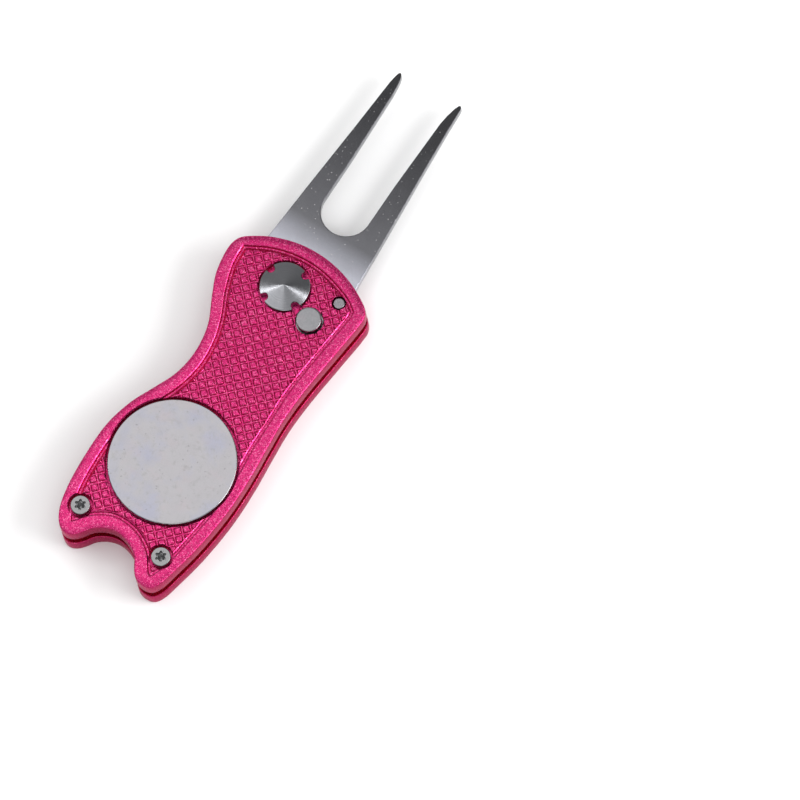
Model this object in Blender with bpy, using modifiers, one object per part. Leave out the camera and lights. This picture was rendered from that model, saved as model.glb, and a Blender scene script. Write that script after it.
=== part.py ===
"""Folding divot repair tool: two handle scales, a spring-opened fork, a release button and a ball marker.

All sizes here are in millimetres, and meshes are made in metres. The design frame has its origin at the
centre of the ball marker, in the plane of the handle's back. +Y runs along the tool to the fork's tips, and
+Z is up through the handle to its front face. Each height below is measured from the back. One empty carries
the whole tool and moves it so that the world origin is at the bottom centre of its bounding box.
"""

import math

import bmesh
import bpy
import numpy as np
from mathutils import Matrix, Vector

MM = 0.001

# The stack of layers, from the handle's back up to its front.
SCALE_THICK = 3.7
SLOT_HEIGHT = 2.5
FORK_THICK = 1.8
HANDLE_THICK = 2 * SCALE_THICK + SLOT_HEIGHT
SLOT_LOW = SCALE_THICK
SLOT_HIGH = SCALE_THICK + SLOT_HEIGHT
FORK_LOW = SLOT_LOW + (SLOT_HEIGHT - FORK_THICK) / 2
FORK_HIGH = FORK_LOW + FORK_THICK
REST_GAP = 0.3  # between faces that rest on each other
RUNNING_GAP = 0.15  # between faces that slide on each other
OUTSIDE = 3.0  # how far a cutter runs past the face that it opens

# The handle's outline, counter-clockwise. The top of the head is an arc.
HEAD_CENTRE = (0.45, 25.8)
HEAD_RADIUS = 23.87
HEAD_ARC_X = (13.2, 8.8, 4.0, 0.0, -4.0)
HEAD_LEFT_CORNER = [(-9.0, 47.65), (-12.5, 45.6), (-13.7, 44.65), (-14.4, 43.4)]
GRIP_SIDE = [
    (-14.7, 41.5),
    (-13.9, 36.2),
    (-12.0, 31.8),
    (-9.4, 26.4),
    (-8.5, 20.6),
    (-9.2, 15.3),
    (-11.1, 10.8),
    (-13.4, 5.7),
    (-14.8, 0.0),
    (-15.0, -6.0),
    (-14.3, -14.8),
]
LEFT_LOBE = [(-13.0, -19.6), (-11.3, -22.0), (-9.6, -22.7), (-8.1, -22.2)]
TAIL_NOTCH = [(-6.9, -21.0), (-5.5, -19.1), (-3.2, -17.7), (-1.0, -17.3), (1.6, -17.9), (4.2, -19.5)]
RIGHT_LOBE = [(5.8, -21.9), (7.1, -23.2), (9.1, -23.6), (10.6, -23.1), (11.6, -21.5), (12.5, -17.9)]
THUMB_SIDE = [
    (13.75, -11.5),
    (14.6, -2.8),
    (14.5, 5.2),
    (13.9, 12.5),
    (13.5, 18.5),
    (13.7, 25.0),
    (14.7, 35.0),
    (15.35, 41.5),
]
HEAD_RIGHT_CORNER = [(15.35, 43.5), (14.7, 44.85)]
OUTLINE_STEP = 1.3  # between the points that are drawn through the knots

# The channel that runs round inside the rim on both faces.
RIM_WIDTH = 2.1
CHANNEL_WIDTH = 1.0
CHANNEL_DEPTH = 0.5

# The pivot, with its barrel, its cap screw, two thrust washers and the opening spring round it.
PIVOT = (-1.1, 40.7)
BARREL_RADIUS = 2.5
BARREL_TOP = 7.85
BARREL_BORE = 1.6
BARREL_BORE_LOW = 2.6
FLANGE_RADIUS = 3.8
FLANGE_LOW = 0.15
FLANGE_HIGH = 1.05
FLANGE_SLOT = (1.0, 0.4)  # width and depth
CAP_RADIUS = 4.9
CAP_SEAT = 8.0
CAP_EDGE_HEIGHT = 9.9
CAP_PEAK_HEIGHT = 10.9
CAP_NOTCH = (1.6, 1.2)  # width and depth
CAP_NOTCH_ANGLES = (60, 160, 240, 330)
CAP_SHANK_RADIUS = 1.3
CAP_SHANK_LOW = 3.0
WASHER_THICK = 0.4
FRONT_WASHER_RADIUS = 4.4
BACK_WASHER_RADIUS = 3.6
SPRING_RADIUS = 4.4
SPRING_WIRE = 0.25
SPRING_TURNS = 1.5
SPRING_PITCH = 0.6
SPRING_POCKET = (3.75, 5.05)
SPRING_POCKET_FLOOR = 1.75
SPRING_LEG_REACH = 6.6
SPRING_LEG_TOP = 5.0
SPRING_LEG_HOLE = 0.6

# The fork, in its open position.
FORK_MIDDLE_X = -0.3
FORK_HALF_WIDTHS = [(10.3, 45.6), (10.05, 48.8), (9.3, 59.8), (8.1, 75.8), (7.5, 84.8)]
PRONG_INNER = [(5.0, 60.4), (5.05, 69.8), (5.35, 79.8), (5.5, 84.8)]
NOTCH_BOTTOM = 55.5
RIGHT_TIP = [(6.95, 89.6), (6.55, 89.85), (5.75, 87.8)]
LEFT_TIP = [(-5.95, 87.6), (-6.7, 89.25), (-7.0, 89.3), (-7.45, 87.4)]
HUB_RADIUS = 5.3
FOLD_ANGLE = 178  # from open to folded, turning counter-clockwise
STOP_SHOULDER_Y = 44.9
FORK_REACH = 51.0  # the slot's radius round the pivot

# The release button. Its body crosses the slot beside the fork's hub.
BUTTON = (6.7, 37.4)
BUTTON_RADIUS = 2.45
BUTTON_TOP = 10.9
BUTTON_COLLAR = (3.1, 7.8, 8.6)  # radius, bottom and top
BUTTON_BODY_RADIUS = 2.2
BUTTON_BODY_LOW = 2.7
BUTTON_BORE = (1.65, 6.0)  # radius and top
BUTTON_ROOF = 8.9  # underside of the front scale above the collar
BUTTON_WELL_FLOOR = 1.0
BUTTON_SPRING = (1.15, 0.2, 7)  # mean radius, wire radius and turns

# The stop pin, the tail screws, the ball marker and the magnet under it.
STOP_PIN = (9.5, 43.5)
STOP_PIN_RADIUS = 1.1
STOP_PIN_SPAN = (2.2, 9.3)
TAIL_SCREWS = {"left": (-10.1, -16.6), "right": (8.7, -17.0)}
SCREW_HEAD_RADIUS = 1.88
SCREW_HEAD_SPAN = (8.7, 10.0)
SCREW_COUNTERBORE = 2.45
SCREW_SHANK = (1.0, 1.3)  # radius and bottom
SCREW_SOCKET = (0.92, 0.19, 0.8)  # mean radius, height of its six lobes and depth
MARKER_RADIUS = 12.5
MARKER_SPAN = (8.2, 9.7)
MARKER_RECESS_RADIUS = 13.0
MARKER_RECESS_FLOOR = 7.95
MAGNET_RADIUS = 4.0
MAGNET_SPAN = (6.85, 7.85)
MAGNET_POCKET_FLOOR = 6.65

# The wall that joins the scales round the thumb side and the tail.
WALL_SETBACK = 0.9
WALL_INNER_X = 9.2
WALL_HEAD_RADIUS = 12.4  # keeps the fork's shoulders clear
WALL_END_Y = 43.0
WALL_PIN_X = 11.2

COLOURS = {
    "pink_anodised": ((0.72, 0.045, 0.22), 0.38, 0.9),
    "fork_steel": ((0.42, 0.42, 0.43), 0.35, 1.0),
    "turned_steel": ((0.60, 0.60, 0.60), 0.25, 1.0),
    "marker_steel": ((0.66, 0.65, 0.67), 0.32, 1.0),
    "screw_steel": ((0.50, 0.50, 0.50), 0.30, 1.0),
    "spring_steel": ((0.35, 0.35, 0.36), 0.35, 1.0),
    "washer_bronze": ((0.55, 0.36, 0.16), 0.40, 1.0),
    "magnet_nickel": ((0.62, 0.60, 0.56), 0.22, 1.0),
}


def clear_scene():
    for item in list(bpy.data.objects):
        bpy.data.objects.remove(item)


def make_collection(name):
    collection = bpy.data.collections.new(name)
    bpy.context.scene.collection.children.link(collection)
    return collection


def make_materials():
    """One Principled material for each finish."""
    materials = {}
    for name, (colour, roughness, metallic) in COLOURS.items():
        material = bpy.data.materials.new(name)
        material.use_nodes = True
        shader = material.node_tree.nodes["Principled BSDF"]
        shader.inputs["Base Color"].default_value = (*colour, 1.0)
        shader.inputs["Roughness"].default_value = roughness
        shader.inputs["Metallic"].default_value = metallic
        materials[name] = material
    return materials


# ---- Outlines ----


def spline_through(knots, step):
    """A smooth closed loop through the knots, with a point about every step."""
    corners = [Vector(knot) for knot in knots]
    count = len(corners)
    loop = []
    for i in range(count):
        before, start = corners[i - 1], corners[i]
        end, after = corners[(i + 1) % count], corners[(i + 2) % count]
        spans = [(b - a).length ** 0.5 for a, b in ((before, start), (start, end), (end, after))]
        first = spline_handle(before, start, end, spans[0], spans[1])
        second = spline_handle(after, end, start, spans[2], spans[1])
        pieces = max(1, round((end - start).length / step))
        for k in range(pieces):
            t = k / pieces
            s = 1 - t
            loop.append(s**3 * start + 3 * s * s * t * first + 3 * s * t * t * second + t**3 * end)
    return [tuple(point) for point in loop]


def spline_handle(far, here, towards, far_span, near_span):
    """The Bezier handle at a knot, which makes the curve pass through it without a kink."""
    weight = 2 * far_span**2 + 3 * far_span * near_span + near_span**2
    total = far_span**2 * towards - near_span**2 * far + weight * here
    return total / (3 * far_span * (far_span + near_span))


def head_arc(x):
    return (x, HEAD_CENTRE[1] + math.sqrt(HEAD_RADIUS**2 - (x - HEAD_CENTRE[0]) ** 2))


def handle_outline(step=OUTLINE_STEP):
    knots = [head_arc(x) for x in HEAD_ARC_X] + HEAD_LEFT_CORNER + GRIP_SIDE + LEFT_LOBE
    knots += TAIL_NOTCH + RIGHT_LOBE + THUMB_SIDE + HEAD_RIGHT_CORNER
    return spline_through(knots, step)


def inset(loop, distance):
    """The loop moved inwards. Points that come too near another stretch of the edge are dropped."""
    points = np.array(loop)
    along = np.roll(points, -1, axis=0) - np.roll(points, 1, axis=0)
    along /= np.linalg.norm(along, axis=1)[:, None]
    inner = points + distance * np.column_stack([-along[:, 1], along[:, 0]])
    starts, ends = points, np.roll(points, -1, axis=0)
    edges = ends - starts
    reach = inner[:, None, :] - starts[None, :, :]
    share = np.clip((reach * edges).sum(axis=2) / (edges**2).sum(axis=1), 0, 1)
    nearest = np.linalg.norm(reach - share[:, :, None] * edges, axis=2).min(axis=1)
    return [tuple(p) for p, d in zip(inner.tolist(), nearest) if d > distance - 0.05]


def arc(centre, radius, start, stop, pieces):
    """Points along an arc, both ends included, with angles in degrees."""
    angles = np.radians(np.linspace(start, stop, pieces + 1))
    return [(centre[0] + radius * math.cos(a), centre[1] + radius * math.sin(a)) for a in angles]


def polar(centre, radius, degrees):
    a = math.radians(degrees)
    return (centre[0] + radius * math.cos(a), centre[1] + radius * math.sin(a))


def fork_outline():
    """The open fork's outline, counter-clockwise from the end of its hub on the stop pin's side."""
    middle = FORK_MIDDLE_X
    shoulder = [(5.2, 43.9), (6.3, STOP_SHOULDER_Y), (9.7, STOP_SHOULDER_Y)]
    right_edge = [(middle + w, y) for w, y in FORK_HALF_WIDTHS]
    right_inner = [(middle + w, y) for w, y in reversed(PRONG_INNER)]
    notch_radius = PRONG_INNER[0][0]
    notch_top = PRONG_INNER[0][1]
    squash = (notch_top - NOTCH_BOTTOM) / notch_radius
    notch = [
        (x, notch_top + (y - notch_top) * squash)
        for x, y in arc((middle, notch_top), notch_radius, 0, -180, 16)
    ][1:-1]
    left_inner = [(middle - w, y) for w, y in PRONG_INNER]
    left_edge = [(middle - w, y) for w, y in reversed(FORK_HALF_WIDTHS)]
    # Folded, the fork lies round the button's body, which it must clear.
    body_angle = math.degrees(math.atan2(BUTTON[1] - PIVOT[1], BUTTON[0] - PIVOT[0]))
    body_reach = math.dist(BUTTON, PIVOT)
    folded_body = polar(PIVOT, body_reach, body_angle - FOLD_ANGLE)
    scoop = arc(folded_body, BUTTON_BODY_RADIUS + 0.45, 110, 5, 8)
    hub = arc(PIVOT, HUB_RADIUS, 152, 370, 24)
    right_prong = right_edge + RIGHT_TIP + right_inner
    left_prong = left_inner + LEFT_TIP + left_edge
    return shoulder + right_prong + notch + left_prong + scoop + hub


# ---- Solids ----


def weld(mesh):
    """Joins the loose caps of an extruded outline to its sides."""
    shape = bmesh.new()
    shape.from_mesh(mesh)
    bmesh.ops.remove_doubles(shape, verts=shape.verts, dist=1e-7)
    bmesh.ops.recalc_face_normals(shape, faces=shape.faces)
    shape.to_mesh(mesh)
    shape.free()


def evaluated_mesh(item):
    """The item's final shape as a new mesh, in the item's own frame. The item is removed."""
    graph = bpy.context.evaluated_depsgraph_get()
    mesh = bpy.data.meshes.new_from_object(item.evaluated_get(graph))
    data = item.data
    bpy.data.objects.remove(item)
    if isinstance(data, bpy.types.Curve):
        bpy.data.curves.remove(data)
    weld(mesh)
    return mesh


def plate(loops, low, high):
    """A flat plate between two heights. The loops after the first one are holes through it."""
    curve = bpy.data.curves.new("outline", "CURVE")
    curve.dimensions = "2D"
    curve.fill_mode = "BOTH"
    curve.extrude = (high - low) / 2 * MM
    for loop in loops:
        spline = curve.splines.new("POLY")
        spline.points.add(len(loop) - 1)
        for point, (x, y) in zip(spline.points, loop):
            point.co = (x * MM, y * MM, 0, 1)
        spline.use_cyclic_u = True
    guide = bpy.data.objects.new("outline", curve)
    bpy.context.scene.collection.objects.link(guide)
    mesh = evaluated_mesh(guide)
    mesh.transform(Matrix.Translation((0, 0, (low + high) / 2 * MM)))
    return mesh


def wire(points, radius):
    """A round wire along the points, with flat ends."""
    curve = bpy.data.curves.new("wire", "CURVE")
    curve.dimensions = "3D"
    curve.bevel_depth = radius * MM
    curve.bevel_resolution = 2
    curve.use_fill_caps = True
    spline = curve.splines.new("POLY")
    spline.points.add(len(points) - 1)
    for point, place in zip(spline.points, points):
        point.co = (*(Vector(place) * MM), 1)
    guide = bpy.data.objects.new("wire", curve)
    bpy.context.scene.collection.objects.link(guide)
    return evaluated_mesh(guide)


def add_screw(item, steps):
    """Turns the item's profile into a round body about its own Z axis."""
    turn = item.modifiers.new("turned", "SCREW")
    turn.axis = "Z"
    turn.steps = steps
    turn.render_steps = steps
    turn.use_merge_vertices = True
    turn.merge_threshold = 1e-5
    turn.use_smooth_shade = False


def profile_mesh(profile):
    """The profile as loose edges at +X. It closes on itself unless both ends are on the axis."""
    on_axis = profile[0][0] == 0 and profile[-1][0] == 0
    count = len(profile)
    edges = [(i, i + 1) for i in range(count - 1)]
    if not on_axis:
        edges.append((count - 1, 0))
    mesh = bpy.data.meshes.new("profile")
    mesh.from_pydata([(r * MM, 0, z * MM) for r, z in profile], edges, [])
    return mesh


def stepped_bore(steps):
    """The profile of a hole that changes radius going down. A step is a radius, its top and its bottom."""
    profile = [(0, steps[0][1])]
    for radius, top, bottom in steps:
        profile += [(radius, top), (radius, bottom)]
    return profile + [(0, steps[-1][2])]


class Workshop:
    """Places parts and cutters in the tool's design frame."""

    def __init__(self, frame, materials):
        self.frame = frame
        self.materials = materials
        self.parts = make_collection("divot_repair_tool")
        self.cutters = make_collection("cutters")

    def place(self, name, mesh, origin, collection):
        item = bpy.data.objects.new(name, mesh)
        mesh.name = name
        item.location = Vector((*origin, 0)) * MM
        item.parent = self.frame
        collection.objects.link(item)
        return item

    def part(self, name, mesh, material, origin=(0, 0)):
        """A part from a mesh in the design frame, with its origin moved to the given place."""
        mesh.transform(Matrix.Translation(Vector((-origin[0], -origin[1], 0)) * MM))
        item = self.place(name, mesh, origin, self.parts)
        mesh.materials.clear()
        mesh.materials.append(self.materials[material])
        mesh.polygons.foreach_set("use_smooth", [True] * len(mesh.polygons))
        mesh.set_sharp_from_angle(angle=math.radians(30))
        return item

    def turned_part(self, name, profile, material, origin, steps=40):
        item = self.place(name, profile_mesh(profile), origin, self.parts)
        item.data.materials.append(self.materials[material])
        add_screw(item, steps)
        return item

    def cutter(self, name, mesh, origin=(0, 0)):
        item = self.place(name, mesh, origin, self.cutters)
        item.hide_render = True
        item.display_type = "WIRE"
        return item

    def turned_cutter(self, name, profile, origin, steps=32):
        item = self.cutter(name, profile_mesh(profile), origin)
        add_screw(item, steps)
        return item


def boolean(item, other, operation="DIFFERENCE"):
    change = item.modifiers.new(other.name, "BOOLEAN")
    change.operation = operation
    change.object = other
    change.solver = "EXACT"


# ---- The handle ----


def channel_cutter(shop, name, low, high):
    """The ring between the rim and the raised field of one face."""
    outline = handle_outline()
    loops = [inset(outline, RIM_WIDTH), inset(outline, RIM_WIDTH + CHANNEL_WIDTH)]
    return shop.cutter(name, plate(loops, low, high))


def front_scale(shop):
    """The front half of the handle, with everything that opens on its face."""
    top = HANDLE_THICK + OUTSIDE
    inside = SLOT_HIGH - OUTSIDE / 2
    scale = shop.part("front_scale", plate([handle_outline()], SLOT_HIGH, HANDLE_THICK), "pink_anodised")
    boolean(scale, channel_cutter(shop, "front_channel", HANDLE_THICK - CHANNEL_DEPTH, top))
    washer_seat = FORK_HIGH + 2 * RUNNING_GAP + WASHER_THICK
    bores = {
        "front_pivot_bore": (
            PIVOT,
            [
                (CAP_RADIUS + 0.3, top, CAP_SEAT),
                (BARREL_RADIUS + REST_GAP, CAP_SEAT, washer_seat),
                (FRONT_WASHER_RADIUS + REST_GAP, washer_seat, inside),
            ],
        ),
        "front_button_bore": (
            BUTTON,
            [
                (BUTTON_RADIUS + REST_GAP, top, BUTTON_ROOF),
                (BUTTON_COLLAR[0] + REST_GAP, BUTTON_ROOF, inside),
            ],
        ),
        "front_stop_pin_bore": (STOP_PIN, [(STOP_PIN_RADIUS + REST_GAP, top, inside)]),
        "marker_recess": (
            (0, 0),
            [
                (MARKER_RECESS_RADIUS, top, MARKER_RECESS_FLOOR),
                (MAGNET_RADIUS + REST_GAP, MARKER_RECESS_FLOOR, MAGNET_POCKET_FLOOR),
            ],
        ),
    }
    seat = SCREW_HEAD_SPAN[0] - REST_GAP
    for side, place in TAIL_SCREWS.items():
        steps = [(SCREW_COUNTERBORE, top, seat), (SCREW_SHANK[0] + REST_GAP, seat, inside)]
        bores[f"front_screw_bore_{side}"] = (place, steps)
    for name, (place, steps) in bores.items():
        round_steps = 64 if name == "marker_recess" else 32
        boolean(scale, shop.turned_cutter(name, stepped_bore(steps), place, round_steps))
    return scale


def fork_room_cutters(shop):
    """What the swinging fork sweeps, cut from the wall between the scales."""
    low, high = SLOT_LOW - OUTSIDE, SLOT_HIGH + OUTSIDE
    far = 60.0
    end = math.degrees(math.acos((WALL_INNER_X - PIVOT[0]) / FORK_REACH))
    sweep = arc(PIVOT, FORK_REACH, 180, 360 - end, 32) + [(WALL_INNER_X, PIVOT[1])]
    head = [(-far, WALL_END_Y), (WALL_PIN_X, WALL_END_Y), (WALL_PIN_X, far), (-far, far)]
    mouth = [(WALL_PIN_X - 1, WALL_END_Y + 1), (far, WALL_END_Y + 1), (far, far), (WALL_PIN_X - 1, far)]
    left = [(-far, -8.0), (PIVOT[0], -8.0), (PIVOT[0], WALL_END_Y + 1), (-far, WALL_END_Y + 1)]
    circle = arc(PIVOT, WALL_HEAD_RADIUS, 0, 360, 40)[:-1]
    rooms = {"sweep": sweep, "head": head, "mouth": mouth, "left": left, "hub": circle}
    return [shop.cutter(f"room_{name}", plate([loop], low, high)) for name, loop in rooms.items()]


def back_scale(shop):
    """The back half of the handle, with the wall that spaces the two halves."""
    wall_mesh = plate([inset(handle_outline(), WALL_SETBACK)], SLOT_LOW - 0.8, SLOT_HIGH - REST_GAP)
    wall = shop.cutter("wall_blank", wall_mesh)
    for cutter in fork_room_cutters(shop):
        boolean(wall, cutter)
    scale = shop.part("back_scale", plate([handle_outline()], 0, SLOT_LOW), "pink_anodised")
    boolean(scale, wall, "UNION")
    boolean(scale, channel_cutter(shop, "back_channel", -OUTSIDE, CHANNEL_DEPTH))
    top = SLOT_HIGH + OUTSIDE
    boss_top = FORK_LOW - 2 * RUNNING_GAP - WASHER_THICK
    bore = BARREL_RADIUS + REST_GAP
    flange_seat = FLANGE_HIGH + RUNNING_GAP
    pivot_profile = [
        (0, top),
        (SPRING_POCKET[1], top),
        (SPRING_POCKET[1], SPRING_POCKET_FLOOR),
        (SPRING_POCKET[0], SPRING_POCKET_FLOOR),
        (SPRING_POCKET[0], boss_top),
        (bore, boss_top),
        (bore, flange_seat),
        (FLANGE_RADIUS + REST_GAP, flange_seat),
        (FLANGE_RADIUS + REST_GAP, -OUTSIDE),
        (0, -OUTSIDE),
    ]
    boolean(scale, shop.turned_cutter("back_pivot_bore", pivot_profile, PIVOT))
    leg_low = PIVOT[1] - SPRING_LEG_REACH - REST_GAP
    leg_high = PIVOT[1] - SPRING_RADIUS
    x_low, x_high = PIVOT[0] - 0.6, PIVOT[0] + 0.6
    groove = [(x_low, leg_low), (x_high, leg_low), (x_high, leg_high), (x_low, leg_high)]
    boolean(scale, shop.cutter("spring_leg_groove", plate([groove], SPRING_POCKET_FLOOR + 0.1, top)))
    wells = {
        "back_button_well": (BUTTON, BUTTON_BODY_RADIUS + REST_GAP, BUTTON_WELL_FLOOR),
        "back_stop_pin_well": (STOP_PIN, STOP_PIN_RADIUS + REST_GAP, STOP_PIN_SPAN[0] - REST_GAP),
    }
    for side, place in TAIL_SCREWS.items():
        wells[f"back_screw_well_{side}"] = (place, SCREW_SHANK[0] + REST_GAP, SCREW_SHANK[1] - REST_GAP)
    for name, (place, radius, floor) in wells.items():
        boolean(scale, shop.turned_cutter(name, stepped_bore([(radius, top, floor)]), place, 24))
    return scale


# ---- The pivot group ----


def pivot_barrel(shop):
    """The tube that the fork turns on, with a flange let into the handle's back."""
    profile = [
        (0, BARREL_BORE_LOW),
        (BARREL_BORE, BARREL_BORE_LOW),
        (BARREL_BORE, BARREL_TOP),
        (BARREL_RADIUS, BARREL_TOP),
        (BARREL_RADIUS, FLANGE_HIGH),
        (FLANGE_RADIUS, FLANGE_HIGH),
        (FLANGE_RADIUS, FLANGE_LOW),
        (0, FLANGE_LOW),
    ]
    barrel = shop.turned_part("pivot_barrel", profile, "turned_steel", PIVOT)
    width, depth = FLANGE_SLOT
    half = width / 2
    reach = FLANGE_RADIUS + 1
    slot = [(-reach, -half), (reach, -half), (reach, half), (-reach, half)]
    slot_mesh = plate([slot], FLANGE_LOW - OUTSIDE, FLANGE_LOW + depth)
    boolean(barrel, shop.cutter("flange_slot", slot_mesh, PIVOT))


def pivot_cap_screw(shop):
    """The screw whose low conical head covers the pivot, with four notches round its edge."""
    head_low = CAP_SEAT + REST_GAP
    profile = [
        (0, CAP_PEAK_HEIGHT),
        (CAP_RADIUS - 0.12, CAP_EDGE_HEIGHT),
        (CAP_RADIUS, CAP_EDGE_HEIGHT - 0.12),
        (CAP_RADIUS, head_low),
        (CAP_SHANK_RADIUS, head_low),
        (CAP_SHANK_RADIUS, CAP_SHANK_LOW),
        (0, CAP_SHANK_LOW),
    ]
    cap = shop.turned_part("pivot_cap_screw", profile, "turned_steel", PIVOT, 48)
    width, depth = CAP_NOTCH
    for angle in CAP_NOTCH_ANGLES:
        floor = CAP_RADIUS - depth
        half = width / 2
        reach = CAP_RADIUS + 1
        loop = [(floor, -half), (reach, -half), (reach, half), (floor, half)]
        mesh = plate([loop], head_low - OUTSIDE, CAP_PEAK_HEIGHT + OUTSIDE)
        notch = shop.cutter(f"cap_notch_{angle}", mesh, PIVOT)
        notch.rotation_euler.z = math.radians(angle)
        boolean(cap, notch)


def thrust_washer(shop, name, outer, low):
    inner = BARREL_RADIUS + REST_GAP
    high = low + WASHER_THICK
    profile = [(outer, high), (outer, low), (inner, low), (inner, high)]
    shop.turned_part(name, profile, "washer_bronze", PIVOT, 32)


def opening_spring(shop):
    """The torsion spring under the fork. One leg lies in the back scale, the other stands in the fork."""
    low = SPRING_POCKET_FLOOR + SPRING_WIRE + 0.3
    points_per_turn = 20
    count = round(SPRING_TURNS * points_per_turn)
    foot = PIVOT[1] - SPRING_LEG_REACH
    points = [(PIVOT[0], foot, low), (PIVOT[0], foot + 1.0, low)]
    for i in range(count + 1):
        share = i / points_per_turn
        x, y = polar(PIVOT, SPRING_RADIUS, 270 + 360 * share)
        points.append((x, y, low + SPRING_PITCH * share))
    points.append((PIVOT[0] - 0.15, PIVOT[1] + SPRING_RADIUS, low + SPRING_PITCH * SPRING_TURNS + 0.3))
    points.append((PIVOT[0] - 0.15, PIVOT[1] + SPRING_RADIUS, SPRING_LEG_TOP))
    shop.part("opening_spring", wire(points, SPRING_WIRE), "spring_steel", PIVOT)


def fork_blade(shop):
    """The two-pronged steel fork, which swings about the barrel."""
    fork = shop.part("fork_blade", plate([fork_outline()], FORK_LOW, FORK_HIGH), "fork_steel", PIVOT)
    high, low = FORK_HIGH + OUTSIDE, FORK_LOW - OUTSIDE
    bore = [(BARREL_RADIUS + REST_GAP, high, low)]
    boolean(fork, shop.turned_cutter("fork_pivot_hole", stepped_bore(bore), PIVOT))
    hole = [(SPRING_LEG_HOLE, high, low)]
    leg_place = polar(PIVOT, SPRING_RADIUS, 90)
    boolean(fork, shop.turned_cutter("fork_spring_hole", stepped_bore(hole), leg_place, 16))


# ---- The release button, the pins, the screws and the marker ----


def release_button(shop):
    """The push button: a cap, a collar that keeps it in the handle and a hollow body across the slot."""
    collar, collar_low, collar_high = BUTTON_COLLAR
    bore, bore_top = BUTTON_BORE
    profile = [
        (0, BUTTON_TOP),
        (BUTTON_RADIUS - 0.25, BUTTON_TOP),
        (BUTTON_RADIUS, BUTTON_TOP - 0.25),
        (BUTTON_RADIUS, collar_high),
        (collar, collar_high),
        (collar, collar_low),
        (BUTTON_BODY_RADIUS, collar_low),
        (BUTTON_BODY_RADIUS, BUTTON_BODY_LOW),
        (bore, BUTTON_BODY_LOW),
        (bore, bore_top),
        (0, bore_top),
    ]
    shop.turned_part("release_button", profile, "turned_steel", BUTTON, 36)


def button_spring(shop):
    """The coil spring that lifts the button, standing on the floor of its well."""
    radius, wire_radius, turns = BUTTON_SPRING
    low = BUTTON_WELL_FLOOR + wire_radius + 0.1
    high = BUTTON_BORE[1] - wire_radius - 0.1
    points_per_turn = 14
    count = turns * points_per_turn
    points = []
    for i in range(count + 1):
        x, y = polar(BUTTON, radius, 360 * i / points_per_turn)
        points.append((x, y, low + (high - low) * i / count))
    shop.part("button_spring", wire(points, wire_radius), "spring_steel", BUTTON)


def stop_pin(shop):
    """The dowel that the fork's shoulder rests on when it is open."""
    low, high = STOP_PIN_SPAN
    radius = STOP_PIN_RADIUS
    edge = 0.15
    profile = [(0, high), (radius - edge, high), (radius, high - edge)]
    profile += [(radius, low + edge), (radius - edge, low), (0, low)]
    shop.turned_part("stop_pin", profile, "turned_steel", STOP_PIN, 28)


def tail_screw(shop, side):
    """One of the two screws that hold the scales together, with a six-lobed socket."""
    low, high = SCREW_HEAD_SPAN
    head = SCREW_HEAD_RADIUS
    shank, shank_low = SCREW_SHANK
    profile = [
        (0, high),
        (head - 0.15, high),
        (head, high - 0.15),
        (head, low),
        (shank, low),
        (shank, shank_low + 0.3),
        (shank - 0.3, shank_low),
        (0, shank_low),
    ]
    screw = shop.turned_part(f"tail_screw_{side}", profile, "screw_steel", TAIL_SCREWS[side], 28)
    mean, lobe, depth = SCREW_SOCKET
    loop = [polar((0, 0), mean + lobe * math.cos(math.radians(6 * a)), a) for a in range(0, 360, 12)]
    mesh = plate([loop], high - depth, high + OUTSIDE)
    boolean(screw, shop.cutter(f"screw_socket_{side}", mesh, TAIL_SCREWS[side]))


def ball_marker(shop):
    """The steel disc that marks the ball's place on the green."""
    low, high = MARKER_SPAN
    edge = 0.15
    radius = MARKER_RADIUS
    profile = [(0, high), (radius - edge, high), (radius, high - edge)]
    profile += [(radius, low + edge), (radius - edge, low), (0, low)]
    shop.turned_part("ball_marker", profile, "marker_steel", (0, 0), 72)


def marker_magnet(shop):
    """The disc magnet that holds the marker."""
    low, high = MAGNET_SPAN
    profile = [(0, high), (MAGNET_RADIUS, high), (MAGNET_RADIUS, low), (0, low)]
    shop.turned_part("marker_magnet", profile, "magnet_nickel", (0, 0), 32)


def main():
    clear_scene()
    outline = np.array(handle_outline())
    tip_y = max(y for _, y in fork_outline())
    middle_x = (outline[:, 0].min() + outline[:, 0].max()) / 2
    middle_y = (outline[:, 1].min() + tip_y) / 2
    frame = bpy.data.objects.new("tool_frame", None)
    frame.location = (-middle_x * MM, -middle_y * MM, 0)
    bpy.context.scene.collection.objects.link(frame)
    shop = Workshop(frame, make_materials())
    front_scale(shop)
    back_scale(shop)
    pivot_barrel(shop)
    pivot_cap_screw(shop)
    thrust_washer(shop, "thrust_washer_front", FRONT_WASHER_RADIUS, FORK_HIGH + RUNNING_GAP)
    thrust_washer(shop, "thrust_washer_back", BACK_WASHER_RADIUS, FORK_LOW - RUNNING_GAP - WASHER_THICK)
    opening_spring(shop)
    fork_blade(shop)
    release_button(shop)
    button_spring(shop)
    stop_pin(shop)
    for side in TAIL_SCREWS:
        tail_screw(shop, side)
    ball_marker(shop)
    marker_magnet(shop)


main()
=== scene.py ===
"""The visual model of the folding divot repair tool, built round its CAD frame.

Sizes are millimetres in the tool's design frame: its origin is at the centre of the ball marker, in
the plane of the handle's back. +Y runs to the fork's tips, +X to the thumb side and +Z up to the
handle's front. The frame's marker gives the design frame's place in the world, and meshes are made
in metres.
"""

import math

import bmesh
import bpy
import numpy as np
from mathutils import Matrix, Vector, geometry


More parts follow.
